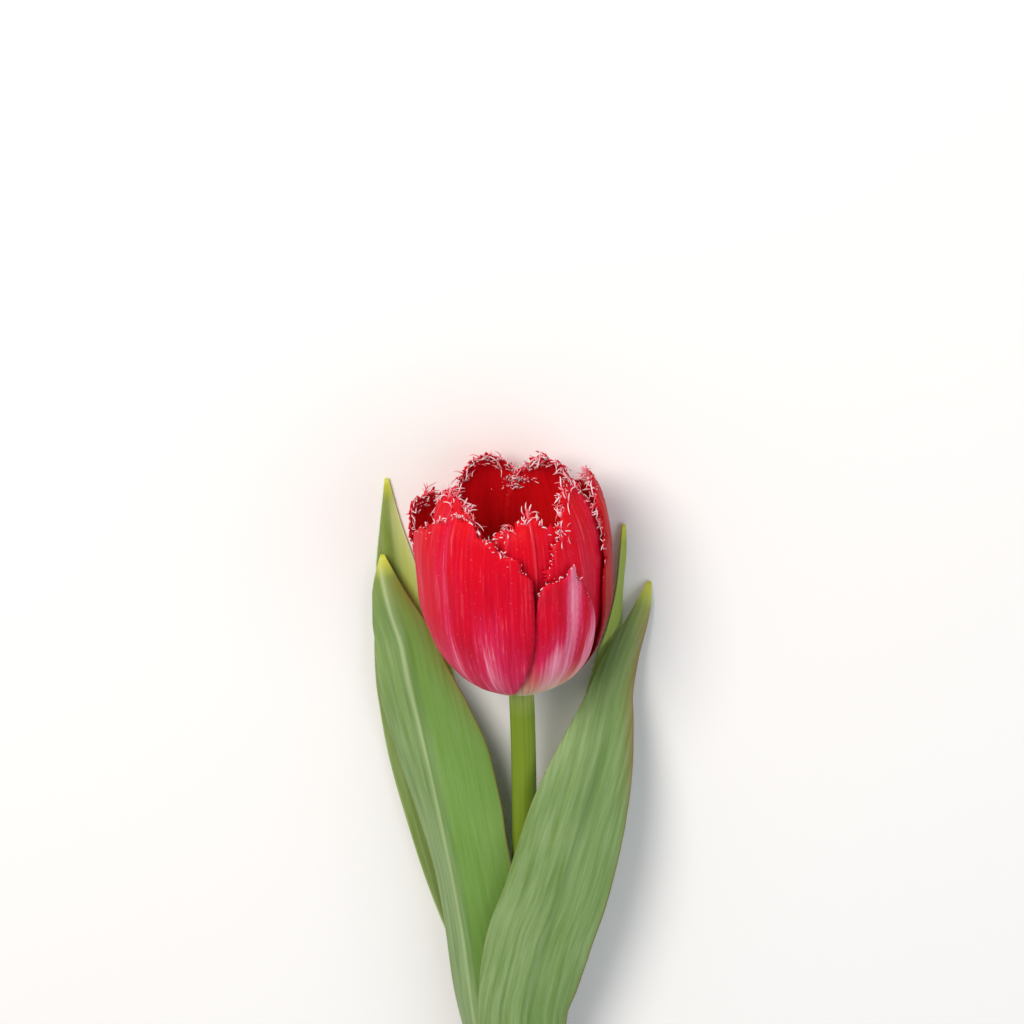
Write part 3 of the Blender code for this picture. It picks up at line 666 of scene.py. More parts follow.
def flatMesh(loop, cell):
    # even triangles inside a loop, clear of its edge
    points = list(loop)
    rowMm = cell * 0.87
    clear = cell * 0.55
    x0, x1 = min(p.x for p in loop), max(p.x for p in loop)
    y0, y1 = min(p.y for p in loop), max(p.y for p in loop)
    for row in range(int((y1 - y0) / rowMm) + 1):
        y = y0 + (row + 0.5) * rowMm
        x = x0 + (0.25 + 0.5 * (row % 2)) * cell
        while x < x1:
            p = Vector((x, y))
            if insideLoop(p, loop) and min((p - q).length_squared for q in loop) ** 0.5 > clear:
                points.append(p)
            x += cell
    edges = [(i, (i + 1) % len(loop)) for i in range(len(loop))]
    made = geometry.delaunay_2d_cdt(points, edges, [list(range(len(loop)))], 1, 1e-5)
    return points, [tuple(f) for f in made[2]]


class Hairs:
    # tapered hairs gathered into one mesh
    def __init__(self):
        self.vertices, self.faces, self.along, self.tone = [], [], [], []

    def grow(self, path, radiusAt, tone, sides=5, paling=1.0):
        # a closed tube on a path; paling above 1 keeps it red for longer
        start = len(self.vertices)
        last = len(path) - 1
        side = None
        for i, p in enumerate(path):
            ahead = (path[min(last, i + 1)] - path[max(0, i - 1)]).normalized()
            if side is None:
                side = ahead.orthogonal().normalized()
            side = (side - ahead * side.dot(ahead)).normalized()
            other = ahead.cross(side)
            u = i / last
            r = radiusAt(u)
            for k in range(sides):
                a = 2 * math.pi * k / sides
                self.vertices.append(p + side * (math.cos(a) * r) + other * (math.sin(a) * r))
                self.along.append(u ** paling)
                self.tone.append(tone)
        for i in range(last):
            for k in range(sides):
                a, b = start + i * sides + k, start + i * sides + (k + 1) % sides
                self.faces.append((a, b, b + sides, a + sides))
        self.faces.append(tuple(start + last * sides + k for k in range(sides)))
        self.faces.append(tuple(start + k for k in reversed(range(sides))))


fringe = {
    "pitch": 0.62,           # mm between hairs along an edge
    "radius": 0.27,
    "steps": 6,              # lengths in a hair
    "root": 0.5,             # mm that a hair at the edge is sunk in it
    "branching": 0.45,       # share of hairs that fork
    "twigSteps": 3,
    "tones": (0.0, 0.0, 0.0, 0.1, 0.3, 0.75),     # how red a hair stays
    "sizes": (0.35, 0.5, 0.65, 0.8, 1.0, 1.2, 1.5),
    "tooth": 2.1,            # mm that the longest tooth of the edge stands out under the hairs
    "lobe": 0.7,             # mm of slower waves in the edge
    "lobePitch": 7.0,        # mm from wave to wave
    "crest": 0.6,            # share of hairs that also rise from the face, behind the edge
    "band": 3.2,             # mm that those reach down from the edge
}


def jaggedEdge(petal, line, rand):
    # uneven teeth, cut deeper where the fringe is full
    s = fringe
    out = list(line)
    phase = rand.uniform(0, 6)
    i = 2
    while i < len(line) - 6:
        samples = rand.choice((2, 3, 3, 4))
        peak = rand.choice((1, max(1, samples - 1)))
        height = s["tooth"] * min(1.0, petal.fringeLength / 3) * rand.uniform(0.25, 1.0)
        for k in range(samples):
            j = i + k
            along = (line[j + 1] - line[j - 1]).normalized()
            side = Vector((-along.y, along.x))
            share = k / peak if k <= peak else (samples - k) / (samples - peak)
            wave = s["lobe"] * math.sin(j * bloom["edgeMm"] * 2 * math.pi / s["lobePitch"] + phase)
            out[j] = line[j] + side * petal.fringeRoom(line[j]) * (height * share ** 1.4 + wave)
        i += samples
    return out


def growFringe(hairs, petal, line, rand):
    # hairs leave the edge in the petal's plane, then curl inwards or outwards
    s = fringe
    run = 0.0
    nextAt = 0.4
    half = bloom["thickness"] / 2
    for i in range(1, len(line)):
        run += (line[i] - line[i - 1]).length
        while run >= nextAt:
            room = petal.fringeRoom(line[i])
            nextAt += s["pitch"] * rand.uniform(0.5, 1.4) * (1 + 0.8 * (1 - room))
            if room < 0.04:
                continue
            along = (line[i] - line[i - 1]).normalized()
            out = Vector((-along.y, along.x))
            at = line[i] + along * rand.uniform(-0.3, 0.3)
            growHair(hairs, petal, at, along, out, room, 0.0, rand)
            if rand.random() < s["crest"] * room * min(1.0, petal.fringeLength / 2.5):
                face = half if rand.random() < petal.outerShare else -half
                deep = rand.uniform(0.3, s["band"]) * room
                growHair(hairs, petal, at - out * deep, along, out, room * 0.85, face, rand)


spine = {"radius": 0.75, "steps": 24, "from": 0.55, "reach": 0.47, "proud": 0.12,
         "tone": 0.88, "sides": 10, "paling": 9.0}


def growSpine(hairs, petal):
    # the rib ends above the edge in a blunt pale tip
    s = spine
    path = []
    for k in range(s["steps"] + 1):
        u = k / s["steps"]
        y = petal.top * (s["from"] + s["reach"] * u)
        x = petal.topSide * min(1.0, y / petal.top)
        path.append(petal.place(x, y, s["proud"] * math.sin(math.pi * u)))

    def swelling(u):
        return s["radius"] * eased(u / 0.5) * (1.0 - 0.3 * u) * (1.0 if u < 1 else 0.6)

    hairs.grow(path, swelling, s["tone"], s["sides"], s["paling"])


def growTuft(hairs, petal, rand):
    # a thicket of hairs on the inner face, by a corner that folds in
    angle, height, wide, deep, number = petal.tuft
    centre = Vector((petal.acrossAt(angle), lengthAt(height)))
    for _ in range(number):
        at = centre + Vector((rand.gauss(0, wide / 2), rand.uniform(-deep, 0)))
        growHair(hairs, petal, at, Vector((1, 0)), Vector((0, 1)), 0.9, -bloom["thickness"] / 2, rand)


def growHair(hairs, petal, at, along, out, room, face, rand):
    # one hair from a point of the flat map: out and along are the edge's own directions there,
    # and face is 0 on the edge, or half the thickness, with its sign, on one of the faces
    s = fringe
    high = eased((petal.heightOf(at.y) - petal.topHeight + 16) / 11)
    size = petal.fringeLength * room * (0.3 + 0.7 * high) * rand.choice(s["sizes"])
    swing = rand.gauss(0.0, 0.5)
    bend = rand.gauss(0.0, 0.8)
    if face:
        lift = -math.copysign(rand.uniform(0.35, 1.0), face)
    else:
        lift = rand.gauss(petal.inward, 0.6) * (0.3 + 0.7 * room)
    lead = 0.0 if face else s["root"]
    root = at - out * lead
    path = []
    for k in range(s["steps"] + 1):
        u = k / s["steps"]
        reach = size * u + lead
        a = swing + bend * u
        ahead = reach * math.cos(a) * (1 - 0.3 * min(1.0, abs(lift)) * u)
        flat = root + out * ahead + along * (reach * math.sin(a))
        rise = lift * size * (0.75 * u if face else 0.6 * u ** 1.4)
        path.append(petal.place(flat.x, flat.y, face * 0.8 - rise))
    tone = rand.choice(s["tones"])
    radius = s["radius"] * rand.uniform(0.75, 1.2) * (0.55 + 0.45 * min(room, size / 1.6))

    def tapering(u):
        return radius * (1 - 0.55 * u) * (1.0 if u < 1 else 0.5)

    hairs.grow(path, tapering, tone)
    if rand.random() < s["branching"] * room:
        join = rand.randint(1, 4)
        fork = path[join]
        ahead = (path[join + 1] - path[join]).normalized()
        aside = ahead.cross(Vector((rand.gauss(0, 1), rand.gauss(0, 1), rand.gauss(0, 1)))).normalized()
        twig = []
        for k in range(s["twigSteps"] + 1):
            course = (ahead * 0.75 + aside * (0.75 + 0.1 * k)).normalized()
            twig.append(fork - ahead * 0.1 + course * (size * 0.15 * k))
        hairs.grow(twig, lambda u: 0.75 * tapering(u), tone)


def makePetal(name, spec, materials, hairMaterial):
    # a thin petal with two faces and a toothed edge, and its hairs as a second mesh
    petal = Petal(**spec)
    rand = random.Random(petal.seed * 7 + 1)
    line = smoothLine(petal.outline, bloom["edgeMm"])
    jagged = jaggedEdge(petal, line, rand)
    across = smoothLine([petal.outline[-1], petal.outline[0]], 1.2)[1:-1]
    loop = jagged + across
    points, triangles = flatMesh(loop, bloom["cellMm"])
    half = bloom["thickness"] / 2
    front = [petal.place(q.x, q.y, half) for q in points]
    back = [petal.place(q.x, q.y, -half) for q in points]
    n = len(points)
    faces, slots, forward = [], [], set()
    for a, b, c in triangles:
        normal = (front[b] - front[a]).cross(front[c] - front[a])
        if normal.dot(front[a] - back[a]) < 0:
            b, c = c, b
        faces += [(a, b, c), (a + n, c + n, b + n)]
        slots += [0, 1]
        forward.update(((a, b), (b, c), (c, a)))
    for i in range(len(loop)):
        j = (i + 1) % len(loop)
        a, b = (i, j) if (i, j) in forward else (j, i)
        faces.append((b, a, a + n, b + n))
        slots.append(0)
    marks = {
        "along": [max(0.0, q.y) / bloom["longest"] for q in points] * 2,
        "blush": [petal.blush(q.x, q.y) for q in points] * 2,
        "foot": [1 - eased(max(0.0, q.y) / petal.foot) for q in points] * 2,
    }
    flat = [(q.x, q.y) for q in points] * 2
    addPiece(name + "_skin", front + back, faces, materials, slots, marks, flat, name)
    hairs = Hairs()
    growFringe(hairs, petal, line, rand)
    if petal.tuft:
        growTuft(hairs, petal, rand)
    if petal.rib < bloom["spineRib"]:
        growSpine(hairs, petal)
    marks = {"along": hairs.along, "blush": hairs.tone}
    flat = [(0.0, 0.0)] * len(hairs.vertices)
    slots = [0] * len(hairs.faces)
    addPiece(
        name + "_fringe", hairs.vertices, hairs.faces, [hairMaterial], slots, marks, flat, name)
    return len(faces) + len(hairs.faces)


# Stem: a bent tube with a receptacle that the petals stand round
stemSettings = {
    "path": ((-4.0, -275.0, 3.75), (-3.0, -190.0, 4.2), (3.3, -74.5, 12.4), (0.0, 0.0, 21.55)),
    "radius": 3.45,
    "cutRadius": 3.75,
    "wider": 0.12,           # part of its length over which it widens to the cut
    "shown": 0.985,          # part of its length before the receptacle
    "rings": 150,
    "sides": 48,
    "ribs": (0.006, 9, 2),   # depth as a part of the radius, number, and twist
    # the receptacle, as (height, radius) in the bloom's frame
    "knob": ((-2.6, 3.5), (-1.7, 3.75), (-1.1, 4.2), (-0.8, 4.3), (-0.7, 4.05), (0.0, 4.0),
             (1.6, 3.3), (3.2, 2.7), (4.5, 2.2), (4.8, 1.6)),
    # the cut face, a shallow dish: (part of the radius, mm sunk), and its middle
    "dish": ((0.93, -0.12), (0.8, 0.1), (0.4, 0.32)),
    "dishDeep": 0.4,
}


def stemCentre(t):
    a, b, c, d = (Vector(p) for p in stemSettings["path"])
    s = 1 - t
    return a * s ** 3 + b * 3 * s * s * t + c * 3 * s * t * t + d * t ** 3


def stemAt(y):
    # the stem's middle at a place along the table
    low, high = 0.0, 1.0
    for _ in range(40):
        middle = (low + high) / 2
        if stemCentre(middle).y < y:
            low = middle
        else:
            high = middle
    return stemCentre(low)


def frameOf(tangent):
    # right and down across a line
    tangent = tangent.normalized()
    down = Vector((0, 0, -1))
    down = (down - tangent * down.dot(tangent)).normalized()
    return down.cross(tangent), down


def ringPoint(centre, right, down, a, r):
    # a point of a ring, kept on or above the table
    q = centre + right * (math.cos(a) * r) - down * (math.sin(a) * r)
    return Vector((q.x, q.y, max(0.0, q.z)))


def turnedTube(rings, sides, wave, mapRadius=3.5):
    # vertices, faces, map and length marks of a tube of (centre, tangent, radius) rings; the map's two
    # halves mirror each other, so that it has no seam
    vertices, flat, along = [], [], []
    run = 0.0
    total = sum((b[0] - a[0]).length for a, b in zip(rings, rings[1:]))
    for i, (centre, tangent, radius) in enumerate(rings):
        if i:
            run += (centre - rings[i - 1][0]).length
        right, down = frameOf(tangent)
        for k in range(sides):
            a = 2 * math.pi * k / sides
            r = radius * (1 + wave(a, i / (len(rings) - 1)))
            vertices.append(ringPoint(centre, right, down, a, r))
            flat.append((min(a, 2 * math.pi - a) * mapRadius, run))
            along.append(run / total)
    faces = []
    for i in range(len(rings) - 1):
        for k in range(sides):
            a, b = i * sides + k, i * sides + (k + 1) % sides
            faces.append((a, a + sides, b + sides, b))
    return vertices, faces, flat, along


def makeStem(skin, flesh):
    s = stemSettings
    rings = []
    for i in range(s["rings"] + 1):
        t = i / s["rings"] * s["shown"]
        tangent = stemCentre(t + 0.005) - stemCentre(t - 0.005)
        radius = s["radius"] + (s["cutRadius"] - s["radius"]) * (1 - eased(t / s["wider"]))
        rings.append((stemCentre(t), tangent, radius))
    for height, radius in s["knob"]:
        rings.append((bloom["base"] + axis * height, axis, radius))
    deep, number, twist = s["ribs"]
    sides = s["sides"]
    vertices, faces, flat, along = turnedTube(
        rings, sides, lambda a, u: deep * math.sin(number * a + twist * u))
    slots = [0] * len(faces)
    centre, tangent, radius = rings[0]
    right, down = frameOf(tangent)
    ahead = tangent.normalized()
    previous = list(range(sides))
    for share, sink in s["dish"]:
        ring = []
        for k in range(sides):
            a = 2 * math.pi * k / sides
            r = radius * share
            ring.append(len(vertices))
            vertices.append(ringPoint(centre + ahead * sink, right, down, a, r))
            flat.append((math.cos(a) * r, math.sin(a) * r))
            along.append(share)
        for k in range(sides):
            j = (k + 1) % sides
            faces.append((previous[k], previous[j], ring[j], ring[k]))
            slots.append(1)
        previous = ring
    vertices.append(centre + ahead * s["dishDeep"])
    flat.append((0.0, 0.0))
    along.append(0.0)
    for k in range(sides):
        faces.append((previous[k], previous[(k + 1) % sides], len(vertices) - 1))
        slots.append(1)
    top = (len(rings) - 1) * sides
    vertices.append(rings[-1][0])
    flat.append((0.0, 0.0))
    along.append(1.0)
    for k in range(sides):
        faces.append((top + (k + 1) % sides, top + k, len(vertices) - 1))
        slots.append(0)
    addPiece("stem_skin", vertices, faces, [skin, flesh], slots, {"along": along}, flat, "stem")


# Each leaf: rows of its middle line as (Y, X, Z, width left, width right, fold, roll, curl radius), where
# a row without X and Z hugs the stem; how much its rib shows, how green the side without wax is (- is the
# left one), how brown its left and right margins are, and its skin
leaves = {
    "leaf_lower": dict(rows=(
        (-177.0, None, None, 8.5, 8.5, 0, 12, 4.45),
        (-165.0, None, None, 10.5, 10.5, 0, 10, 5.6),
        (-150.0, 0.0, 16.6, 12.0, 12.0, 0, 6, 9.0),
        (-125.0, -0.2, 21.5, 12.6, 12.6, 0, 2, 18.0),
        (-100.2, 0.5, 24.5, 13.0, 13.0, 0, 0, 30.0),
        (-88.3, 2.5, 25.8, 14.4, 14.4, 0, 0, 36.0),
        (-75.5, 5.4, 26.8, 15.0, 15.2, 0, 2, 40.0),
        (-63.2, 9.6, 27.4, 15.0, 15.2, 2, 4, 42.0),
        (-51.4, 12.9, 27.4, 15.0, 15.1, 3, 7, 44.0),
        (-39.3, 16.2, 26.4, 14.6, 14.7, 4, 10, 44.0),
        (-32.1, 18.4, 25.0, 13.9, 14.0, 5, 12, 42.0),
        (-22.5, 21.2, 21.8, 12.0, 12.2, 6, 12, 34.0),
        (-12.5, 23.8, 17.2, 9.0, 9.2, 8, 10, 26.0),
        (-5.4, 25.5, 13.6, 6.8, 6.8, 10, 8, 22.0),
        (2.7, 28.2, 9.6, 5.4, 5.4, 12, 8, 18.0),
        (11.0, 31.9, 5.8, 3.5, 3.5, 14, 4, 14.0),
        (16.9, 34.2, 3.1, 2.1, 2.1, 14, 0, 10.0),
        (22.1, 35.6, 0.6, 0.5, 0.5, 0, 0, 8.0)),
        ribShow=0.0, sunny=0.15, edgeTint=(0.0, 0.75), skin="glaucousLeafSkin"),
    "leaf_middle": dict(rows=(
        (-152.0, None, None, 8.0, 8.0, 0, -50, 4.45),
        (-142.0, None, None, 9.5, 9.5, 3, -47, 5.6),
        (-128.0, -7.4, 16.4, 11.5, 12.0, 8, -42, 10.5),
        (-116.0, -10.4, 17.8, 12.0, 14.0, 14, -37, 20.0),
        (-104.0, -12.6, 18.6, 12.0, 15.5, 22, -33, 40.0),
        (-80.0, -15.2, 19.6, 11.0, 17.4, 25, -30, 90.0),
        (-64.0, -17.6, 20.2, 11.6, 17.0, 27, -31, 120.0),
        (-51.0, -19.9, 20.0, 12.2, 17.0, 26, -29, 120.0),
        (-40.6, -21.9, 18.8, 13.0, 17.6, 25, -25, 90.0),
        (-27.9, -24.7, 16.6, 13.2, 17.6, 22, -19, 70.0),
        (-14.1, -27.7, 14.6, 13.2, 15.0, 20, -12, 60.0),
        (-2.9, -30.2, 12.6, 12.0, 11.6, 18, -8, 50.0),
        (7.9, -32.4, 10.0, 9.8, 8.6, 16, -4, 40.0),
        (15.5, -35.0, 8.0, 7.4, 6.4, 14, -2, 30.0),
        (21.0, -36.5, 6.2, 5.2, 4.5, 12, 0, 20.0),
        (26.5, -37.6, 4.6, 2.6, 2.4, 8, 0, 12.0),
        (31.0, -38.2, 3.2, 0.5, 0.5, 0, 0, 8.0)),
        ribShow=0.8, sunny=0.65, edgeTint=(0.0, 0.6), skin="glaucousLeafSkin"),
    "leaf_third": dict(rows=(
        (-122.0, None, None, 6.5, 6.5, 0, -125, 4.45),
        (-112.0, None, None, 8.0, 8.0, 2, -130, 5.6),
        (-98.0, -6.6, 4.8, 8.6, 8.6, 3, -142, 11.0),
        (-75.0, -15.0, 2.3, 9.5, 9.5, 2, -160, 34.0),
        (-50.0, -21.0, 1.6, 11.0, 11.0, 3, -169, 50.0),
        (-25.0, -26.6, 1.0, 11.4, 11.4, 2, -175, 64.0),
        (-9.0, -29.2, 0.7, 11.2, 11.2, 2, -176, 60.0),
        (2.3, -31.2, 0.6, 9.8, 9.8, 2, -177, 60.0),
        (17.0, -33.2, 0.5, 7.2, 7.2, 2, -178, 50.0),
        (28.5, -34.8, 0.45, 5.2, 5.2, 2, -179, 40.0),
        (38.8, -35.9, 0.45, 3.0, 3.0, 1, -180, 30.0),
        (52.4, -36.9, 0.8, 0.5, 0.5, 0, -180, 20.0)),
        ribShow=0.0, sunny=-0.85, edgeTint=(0.8, 0.0), skin="halfWaxedLeafSkin"),
    "leaf_upper": dict(rows=(
        (-98.0, None, None, 5.5, 5.5, 0, 125, 4.45),
        (-90.0, None, None, 6.5, 6.5, 2, 118, 5.6),
        (-76.0, 8.4, 9.4, 7.0, 7.0, 4, 96, 9.0),
        (-55.0, 15.5, 7.6, 7.4, 7.4, 4, 66, 20.0),
        (-30.0, 20.5, 5.6, 7.2, 7.2, 4, 36, 30.0),
        (-12.0, 23.4, 4.6, 6.2, 6.2, 4, 30, 30.0),
        (0.0, 25.2, 4.3, 5.2, 5.2, 6, 36, 24.0),
        (12.0, 26.8, 4.8, 4.4, 4.4, 8, 62, 20.0),
        (23.0, 27.8, 4.0, 3.2, 3.2, 6, 72, 16.0),
        (32.0, 28.2, 2.6, 1.7, 1.7, 2, 60, 12.0),
        (39.0, 28.3, 1.0, 0.5, 0.5, 0, 40, 8.0)),
        ribShow=0.0, sunny=0.4, edgeTint=(0.0, 0.0), skin="youngLeafSkin"),
}
leafSkins = {                # the wax that it keeps, and how yellow it is
    "glaucousLeafSkin": (0.62, 0.0),
    "youngLeafSkin": (0.25, 0.5),
    "halfWaxedLeafSkin": (0.8, 0.22),
}
leafGrid = {
    "thickness": 0.55,
    "alongMm": 1.6,
    "columns": 40,
    "crowded": 0.35,         # how much closer the columns stand at the edges
    "channels": ((0.05, 1.7), (0.04, 3.1)),   # depth in mm, and radians of a wave in a mm
    "marginMm": 0.35,
    "washMm": 3.5,           # the brown that spreads in from the margin near the tip
    "ribAt": -1.0,           # mm left of the middle
    "ribMm": 0.5,
}


class Leaf:
    # a blade round a middle line, curled round the stem at its foot
    def __init__(self, rows):
        full = []
        for row in rows:
            row = list(row)
            if row[1] is None:
                centre = stemAt(row[0])
                a = math.radians(row[6])
                row[1] = centre.x + math.sin(a) * row[7]
                row[2] = centre.z + math.cos(a) * row[7]
            full.append(row)
        run = 0.0
        self.rows = []
        for i, row in enumerate(full):
            if i:
                run += math.dist(row[:3], full[i - 1][:3])
            self.rows.append([run, row[1], row[0], row[2]] + row[3:])
        self.length = run

    def middle(self, t):
        return Vector((through(self.rows, t, 1), through(self.rows, t, 2), through(self.rows, t, 3)))

    def width(self, t, side):
        return through(self.rows, t, 4 if side < 0 else 5)

    def station(self, t):
        # everything about one cross-section that doesn't change across it
        e = 0.5
        tangent = self.middle(min(self.length, t + e)) - self.middle(max(0.0, t - e))
        right, down = frameOf(tangent)
        roll = math.radians(through(self.rows, t, 7))
        inner = down * math.cos(roll) - right * math.sin(roll)
        across = right * math.cos(roll) + down * math.sin(roll)
        fold = math.radians(through(self.rows, t, 6))
        return self.middle(t), across, inner, fold, through(self.rows, t, 8)

    def place(self, station, x, outward):
        middle, across, inner, fold, curl = station
        ridge = math.sqrt(x * x + 1.2) - math.sqrt(1.2)   # the fold is rounded
        a = x * math.cos(fold) / curl
        reach = curl - ridge * math.sin(fold) + outward
        return middle + across * math.sin(a) * reach + inner * (curl - math.cos(a) * reach)


def makeLeaf(name, spec, material):
    # a blade with two faces, and the marks for its wax, rib and margins
    s = leafGrid
    leaf = Leaf(spec["rows"])
    half = s["thickness"] / 2
    rows = round(leaf.length / s["alongMm"])
    columns = s["columns"]
    wide = columns + 1
    rand = random.Random(len(name) * 31 + rows)
    waves = [(deep, turns, rand.uniform(0, 6.28)) for deep, turns in s["channels"]]
    vertices, along, rim, rib, sunny, flat = [], [], [], [], [], []
    for outward in (half, -half):
        for i in range(rows + 1):
            t = leaf.length * i / rows
            station = leaf.station(t)
            u = i / rows
            for j in range(wide):
                v = j / columns * 2 - 1
                v = math.sin(v * math.pi / 2) * s["crowded"] + v * (1 - s["crowded"])
                w = leaf.width(t, v)
                x = v * w
                # shallow lengthwise channels over the veins, which fade at both ends and the edges
                relief = sum(deep * math.sin(x * turns + p) for deep, turns, p in waves)
                relief *= (1 - abs(v) ** 4) * eased(u / 0.15) * (1 - eased((u - 0.85) / 0.15))
                vertices.append(leaf.place(station, x, outward + relief))
                flat.append((x, t))
                along.append(u)
                tint = spec["edgeTint"][0] if v < 0 else spec["edgeTint"][1]
                near = math.exp(-max(0.0, w - abs(x)) / s["marginMm"])
                wash = math.exp(-((w - abs(x)) / s["washMm"]) ** 2) * eased((u - 0.66) / 0.14) * 0.55
                fade = 1 - eased((u - 0.94) / 0.05)
                rim.append(fade * (min(1.0, tint * (near * 0.8 + wash)) + 0.12 * near * (tint == 0)))
                pale = math.exp(-((x - s["ribAt"]) / s["ribMm"]) ** 2)
                rib.append(spec["ribShow"] * pale * eased(u / 0.2) * 0.75)
                sunny.append(abs(spec["sunny"]) * eased((math.copysign(x, x * spec["sunny"]) + 0.5) / 4))
    n = (rows + 1) * wide
    faces = []
    for i in range(rows):
        for j in range(columns):
            a, b = i * wide + j, i * wide + j + 1
            faces += [(a, b, b + wide, a + wide), (a + n, a + wide + n, b + wide + n, b + n)]
    loop = list(range(wide)) + [i * wide + columns for i in range(1, rows + 1)]
    loop += [rows * wide + j for j in range(columns - 1, -1, -1)]
    loop += [i * wide for i in range(rows - 1, 0, -1)]
    for i, a in enumerate(loop):
        b = loop[(i + 1) % len(loop)]
        faces.append((b, a, a + n, b + n))
    marks = {"along": along, "rim": rim, "blush": rib, "sunny": sunny}
    addPiece(name + "_skin", vertices, faces, [material], [0] * len(faces), marks, flat, name)


# Inside the bloom: a three-lobed pistil as (height, radius), and six dusty anthers on short stalks
# as (height, distance from the axis, radius)
pistilSettings = {
    "rows": ((5.1, 1.5), (5.6, 2.1), (6.6, 2.5), (9.0, 2.9), (12.0, 3.0), (15.0, 2.8), (17.5, 2.45),
             (19.3, 2.05), (20.3, 2.3), (21.2, 3.0), (22.4, 3.35), (23.3, 3.1), (24.0, 2.2), (24.3, 0.9)),
    "sides": 36,
}
stamenSettings = {
    "rows": ((4.75, 3.05, 0.5), (7.0, 4.6, 0.6), (9.5, 5.5, 0.58), (11.5, 6.2, 0.5), (12.6, 6.6, 0.6),
             (13.4, 6.9, 1.15), (15.0, 7.2, 1.4), (18.0, 7.6, 1.5), (21.0, 7.8, 1.35), (23.4, 7.8, 1.0),
             (24.6, 7.8, 0.6), (25.0, 7.8, 0.2)),
    "count": 6,
    "firstAngle": -110.0,
    "sides": 20,
}


def makeTurned(name, path, radii, sides, material, wave):
    # a closed round form along a path
    rings = []
    for i, (point, radius) in enumerate(zip(path, radii)):
        rings.append((point, path[min(len(path) - 1, i + 1)] - path[max(0, i - 1)], radius))
    vertices, faces, flat, along = turnedTube(rings, sides, wave)
    last = (len(rings) - 1) * sides
    faces.append(tuple(range(sides)))
    faces.append(tuple(last + k for k in reversed(range(sides))))
    marks = {"along": along}
    addPiece(name + "_skin", vertices, faces, [material], [0] * len(faces), marks, flat, name)


def makePistil(material):
    s = pistilSettings

    def lobes(a, u):
        return 0.09 * math.cos(3 * a) * (1 if u < 0.75 else -1.6) * eased(u / 0.2)

    path = [bloom["base"] + axis * h for h, _ in s["rows"]]
    makeTurned("pistil", path, [r for _, r in s["rows"]], s["sides"], material, lobes)


def makeStamens(material):
    s = stamenSettings

    def grooves(a, u):
        return (0.1 * math.cos(4 * a) - 0.05) * eased((u - 0.42) / 0.1)

    for number in range(1, s["count"] + 1):
        angle = s["firstAngle"] + 360.0 / s["count"] * (number - 1)
        path = [bloomPoint(r, h, angle) for h, r, _ in s["rows"]]
        radii = [w for _, _, w in s["rows"]]
        makeTurned("stamen_%d" % number, path, radii, s["sides"], material, grooves)


outside = petalOutside("waxyPetalOutside", "ramp")
# a darker copy of the petal skin, whose darker reds are painted shade
shadedOutside = petalOutside("shadedPetalOutside", "shadedRamp")
inside = fibrousSkin("glossyPetalInside", insideFinish)
hairTissue = fringeTissue()
count = 0
for petalName, petalSpec in petals.items():
    # the petal at the lower right gets the copy with painted shade
    skin = shadedOutside if petalName == "petal_outer_3" else outside
    count += makePetal(petalName, petalSpec, [skin, inside], hairTissue)
print("petals and fringe:", count, "faces")

makeStem(fibrousSkin("satinStemSkin", stemFinish), cutFlesh())
skins = {skinName: leafSkin(skinName, *amounts) for skinName, amounts in leafSkins.items()}
for leafName, leafSpec in leaves.items():
    makeLeaf(leafName, leafSpec, skins[leafSpec["skin"]])
print("stem and leaves made")

makePistil(grainyTissue("paleGreenOvary"))
makeStamens(grainyTissue("dustyAnther"))
print("pistil and stamens made")


# Matt pale table; its size is in metres, to each side
table = {"size": 3.0, "colour": "EFEEEC", "roughness": 0.7}


def makeTable():
    mesh = bpy.data.meshes.new("table")
    r = table["size"]
    mesh.from_pydata([(-r, -r, 0), (r, -r, 0), (r, r, 0), (-r, r, 0)], [], [(0, 1, 2, 3)])
    material, _, shader = newMaterial("mattPaleTable")
    shader.inputs["Base Color"].default_value = linear(table["colour"])
    shader.inputs["Roughness"].default_value = table["roughness"]
    mesh.materials.append(material)
    floor = bpy.data.objects.new("table", mesh)
    bpy.context.collection.objects.link(floor)
    return floor


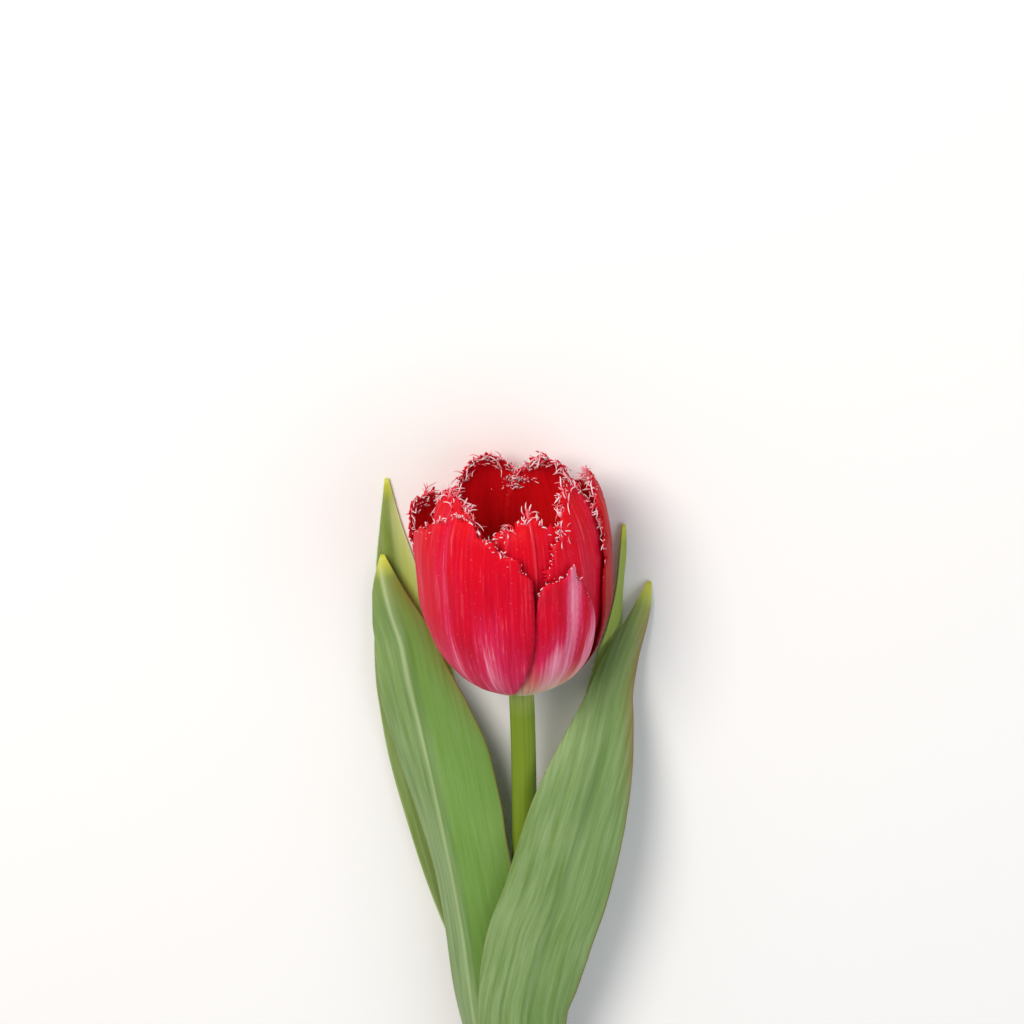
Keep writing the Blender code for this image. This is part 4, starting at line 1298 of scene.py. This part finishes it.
# Soft light from the upper left, and a weak one from the right: places and sizes in metres
lamps = {
    "key": dict(place=(-0.6, 0.7, 1.15), size=0.8, power=18.5, colour="FFF8F0"),
    "fill": dict(place=(0.9, -0.2, 0.9), size=1.2, power=4.0, colour="F0F5FF"),
}
sky = {"colour": "F2F5FA", "strength": 0.52}


def makeLamps(target):
    made = []
    for name, s in lamps.items():
        light = bpy.data.lights.new(name, "AREA")
        light.shape = "DISK"
        light.size = s["size"]
        light.energy = s["power"]
        light.color = linear(s["colour"])[:3]
        lamp = bpy.data.objects.new(name, light)
        lamp.location = target + Vector(s["place"])
        lamp.rotation_mode = "QUATERNION"
        lamp.rotation_quaternion = (target - lamp.location).to_track_quat("-Z", "Y")
        bpy.context.collection.objects.link(lamp)
        made.append(lamp)
    world = bpy.data.worlds.new("softSky")
    world.use_nodes = True
    background = world.node_tree.nodes["Background"]
    background.inputs["Color"].default_value = linear(sky["colour"])
    background.inputs["Strength"].default_value = sky["strength"]
    bpy.context.scene.world = world
    return made


cameraSettings = {
    "pitch": 20.0,           # degrees from straight above, towards the bloom's mouth
    "distance": 1100.0,
    "lens": 141.15,
    "sensor": 36.0,
    "aim": (-2.47, 47.1),    # mm right and up from the bloom's base to the picture's middle
}


def makeCamera():
    s = cameraSettings
    pitch = math.radians(s["pitch"])
    right = Vector((1, 0, 0))
    up = Vector((0, math.cos(pitch), -math.sin(pitch)))
    back = Vector((0, math.sin(pitch), math.cos(pitch)))
    target = bloom["base"] + right * s["aim"][0] + up * s["aim"][1]
    place = (target + back * s["distance"] + middleShift) * mm
    camera = bpy.data.objects.new("camera", bpy.data.cameras.new("camera"))
    turn = Matrix((right, up, back)).transposed().to_4x4()
    camera.matrix_world = Matrix.Translation(place) @ turn
    camera.data.lens = s["lens"]
    camera.data.sensor_width = s["sensor"]
    camera.data.clip_start = 0.05
    camera.data.clip_end = 20.0
    bpy.context.collection.objects.link(camera)
    bpy.context.scene.camera = camera
    return (target + middleShift) * mm


floor = makeTable()
aim = makeCamera()
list(makeLamps(aim))
bpy.context.scene.view_settings.view_transform = "Standard"
print("table, light and camera set")
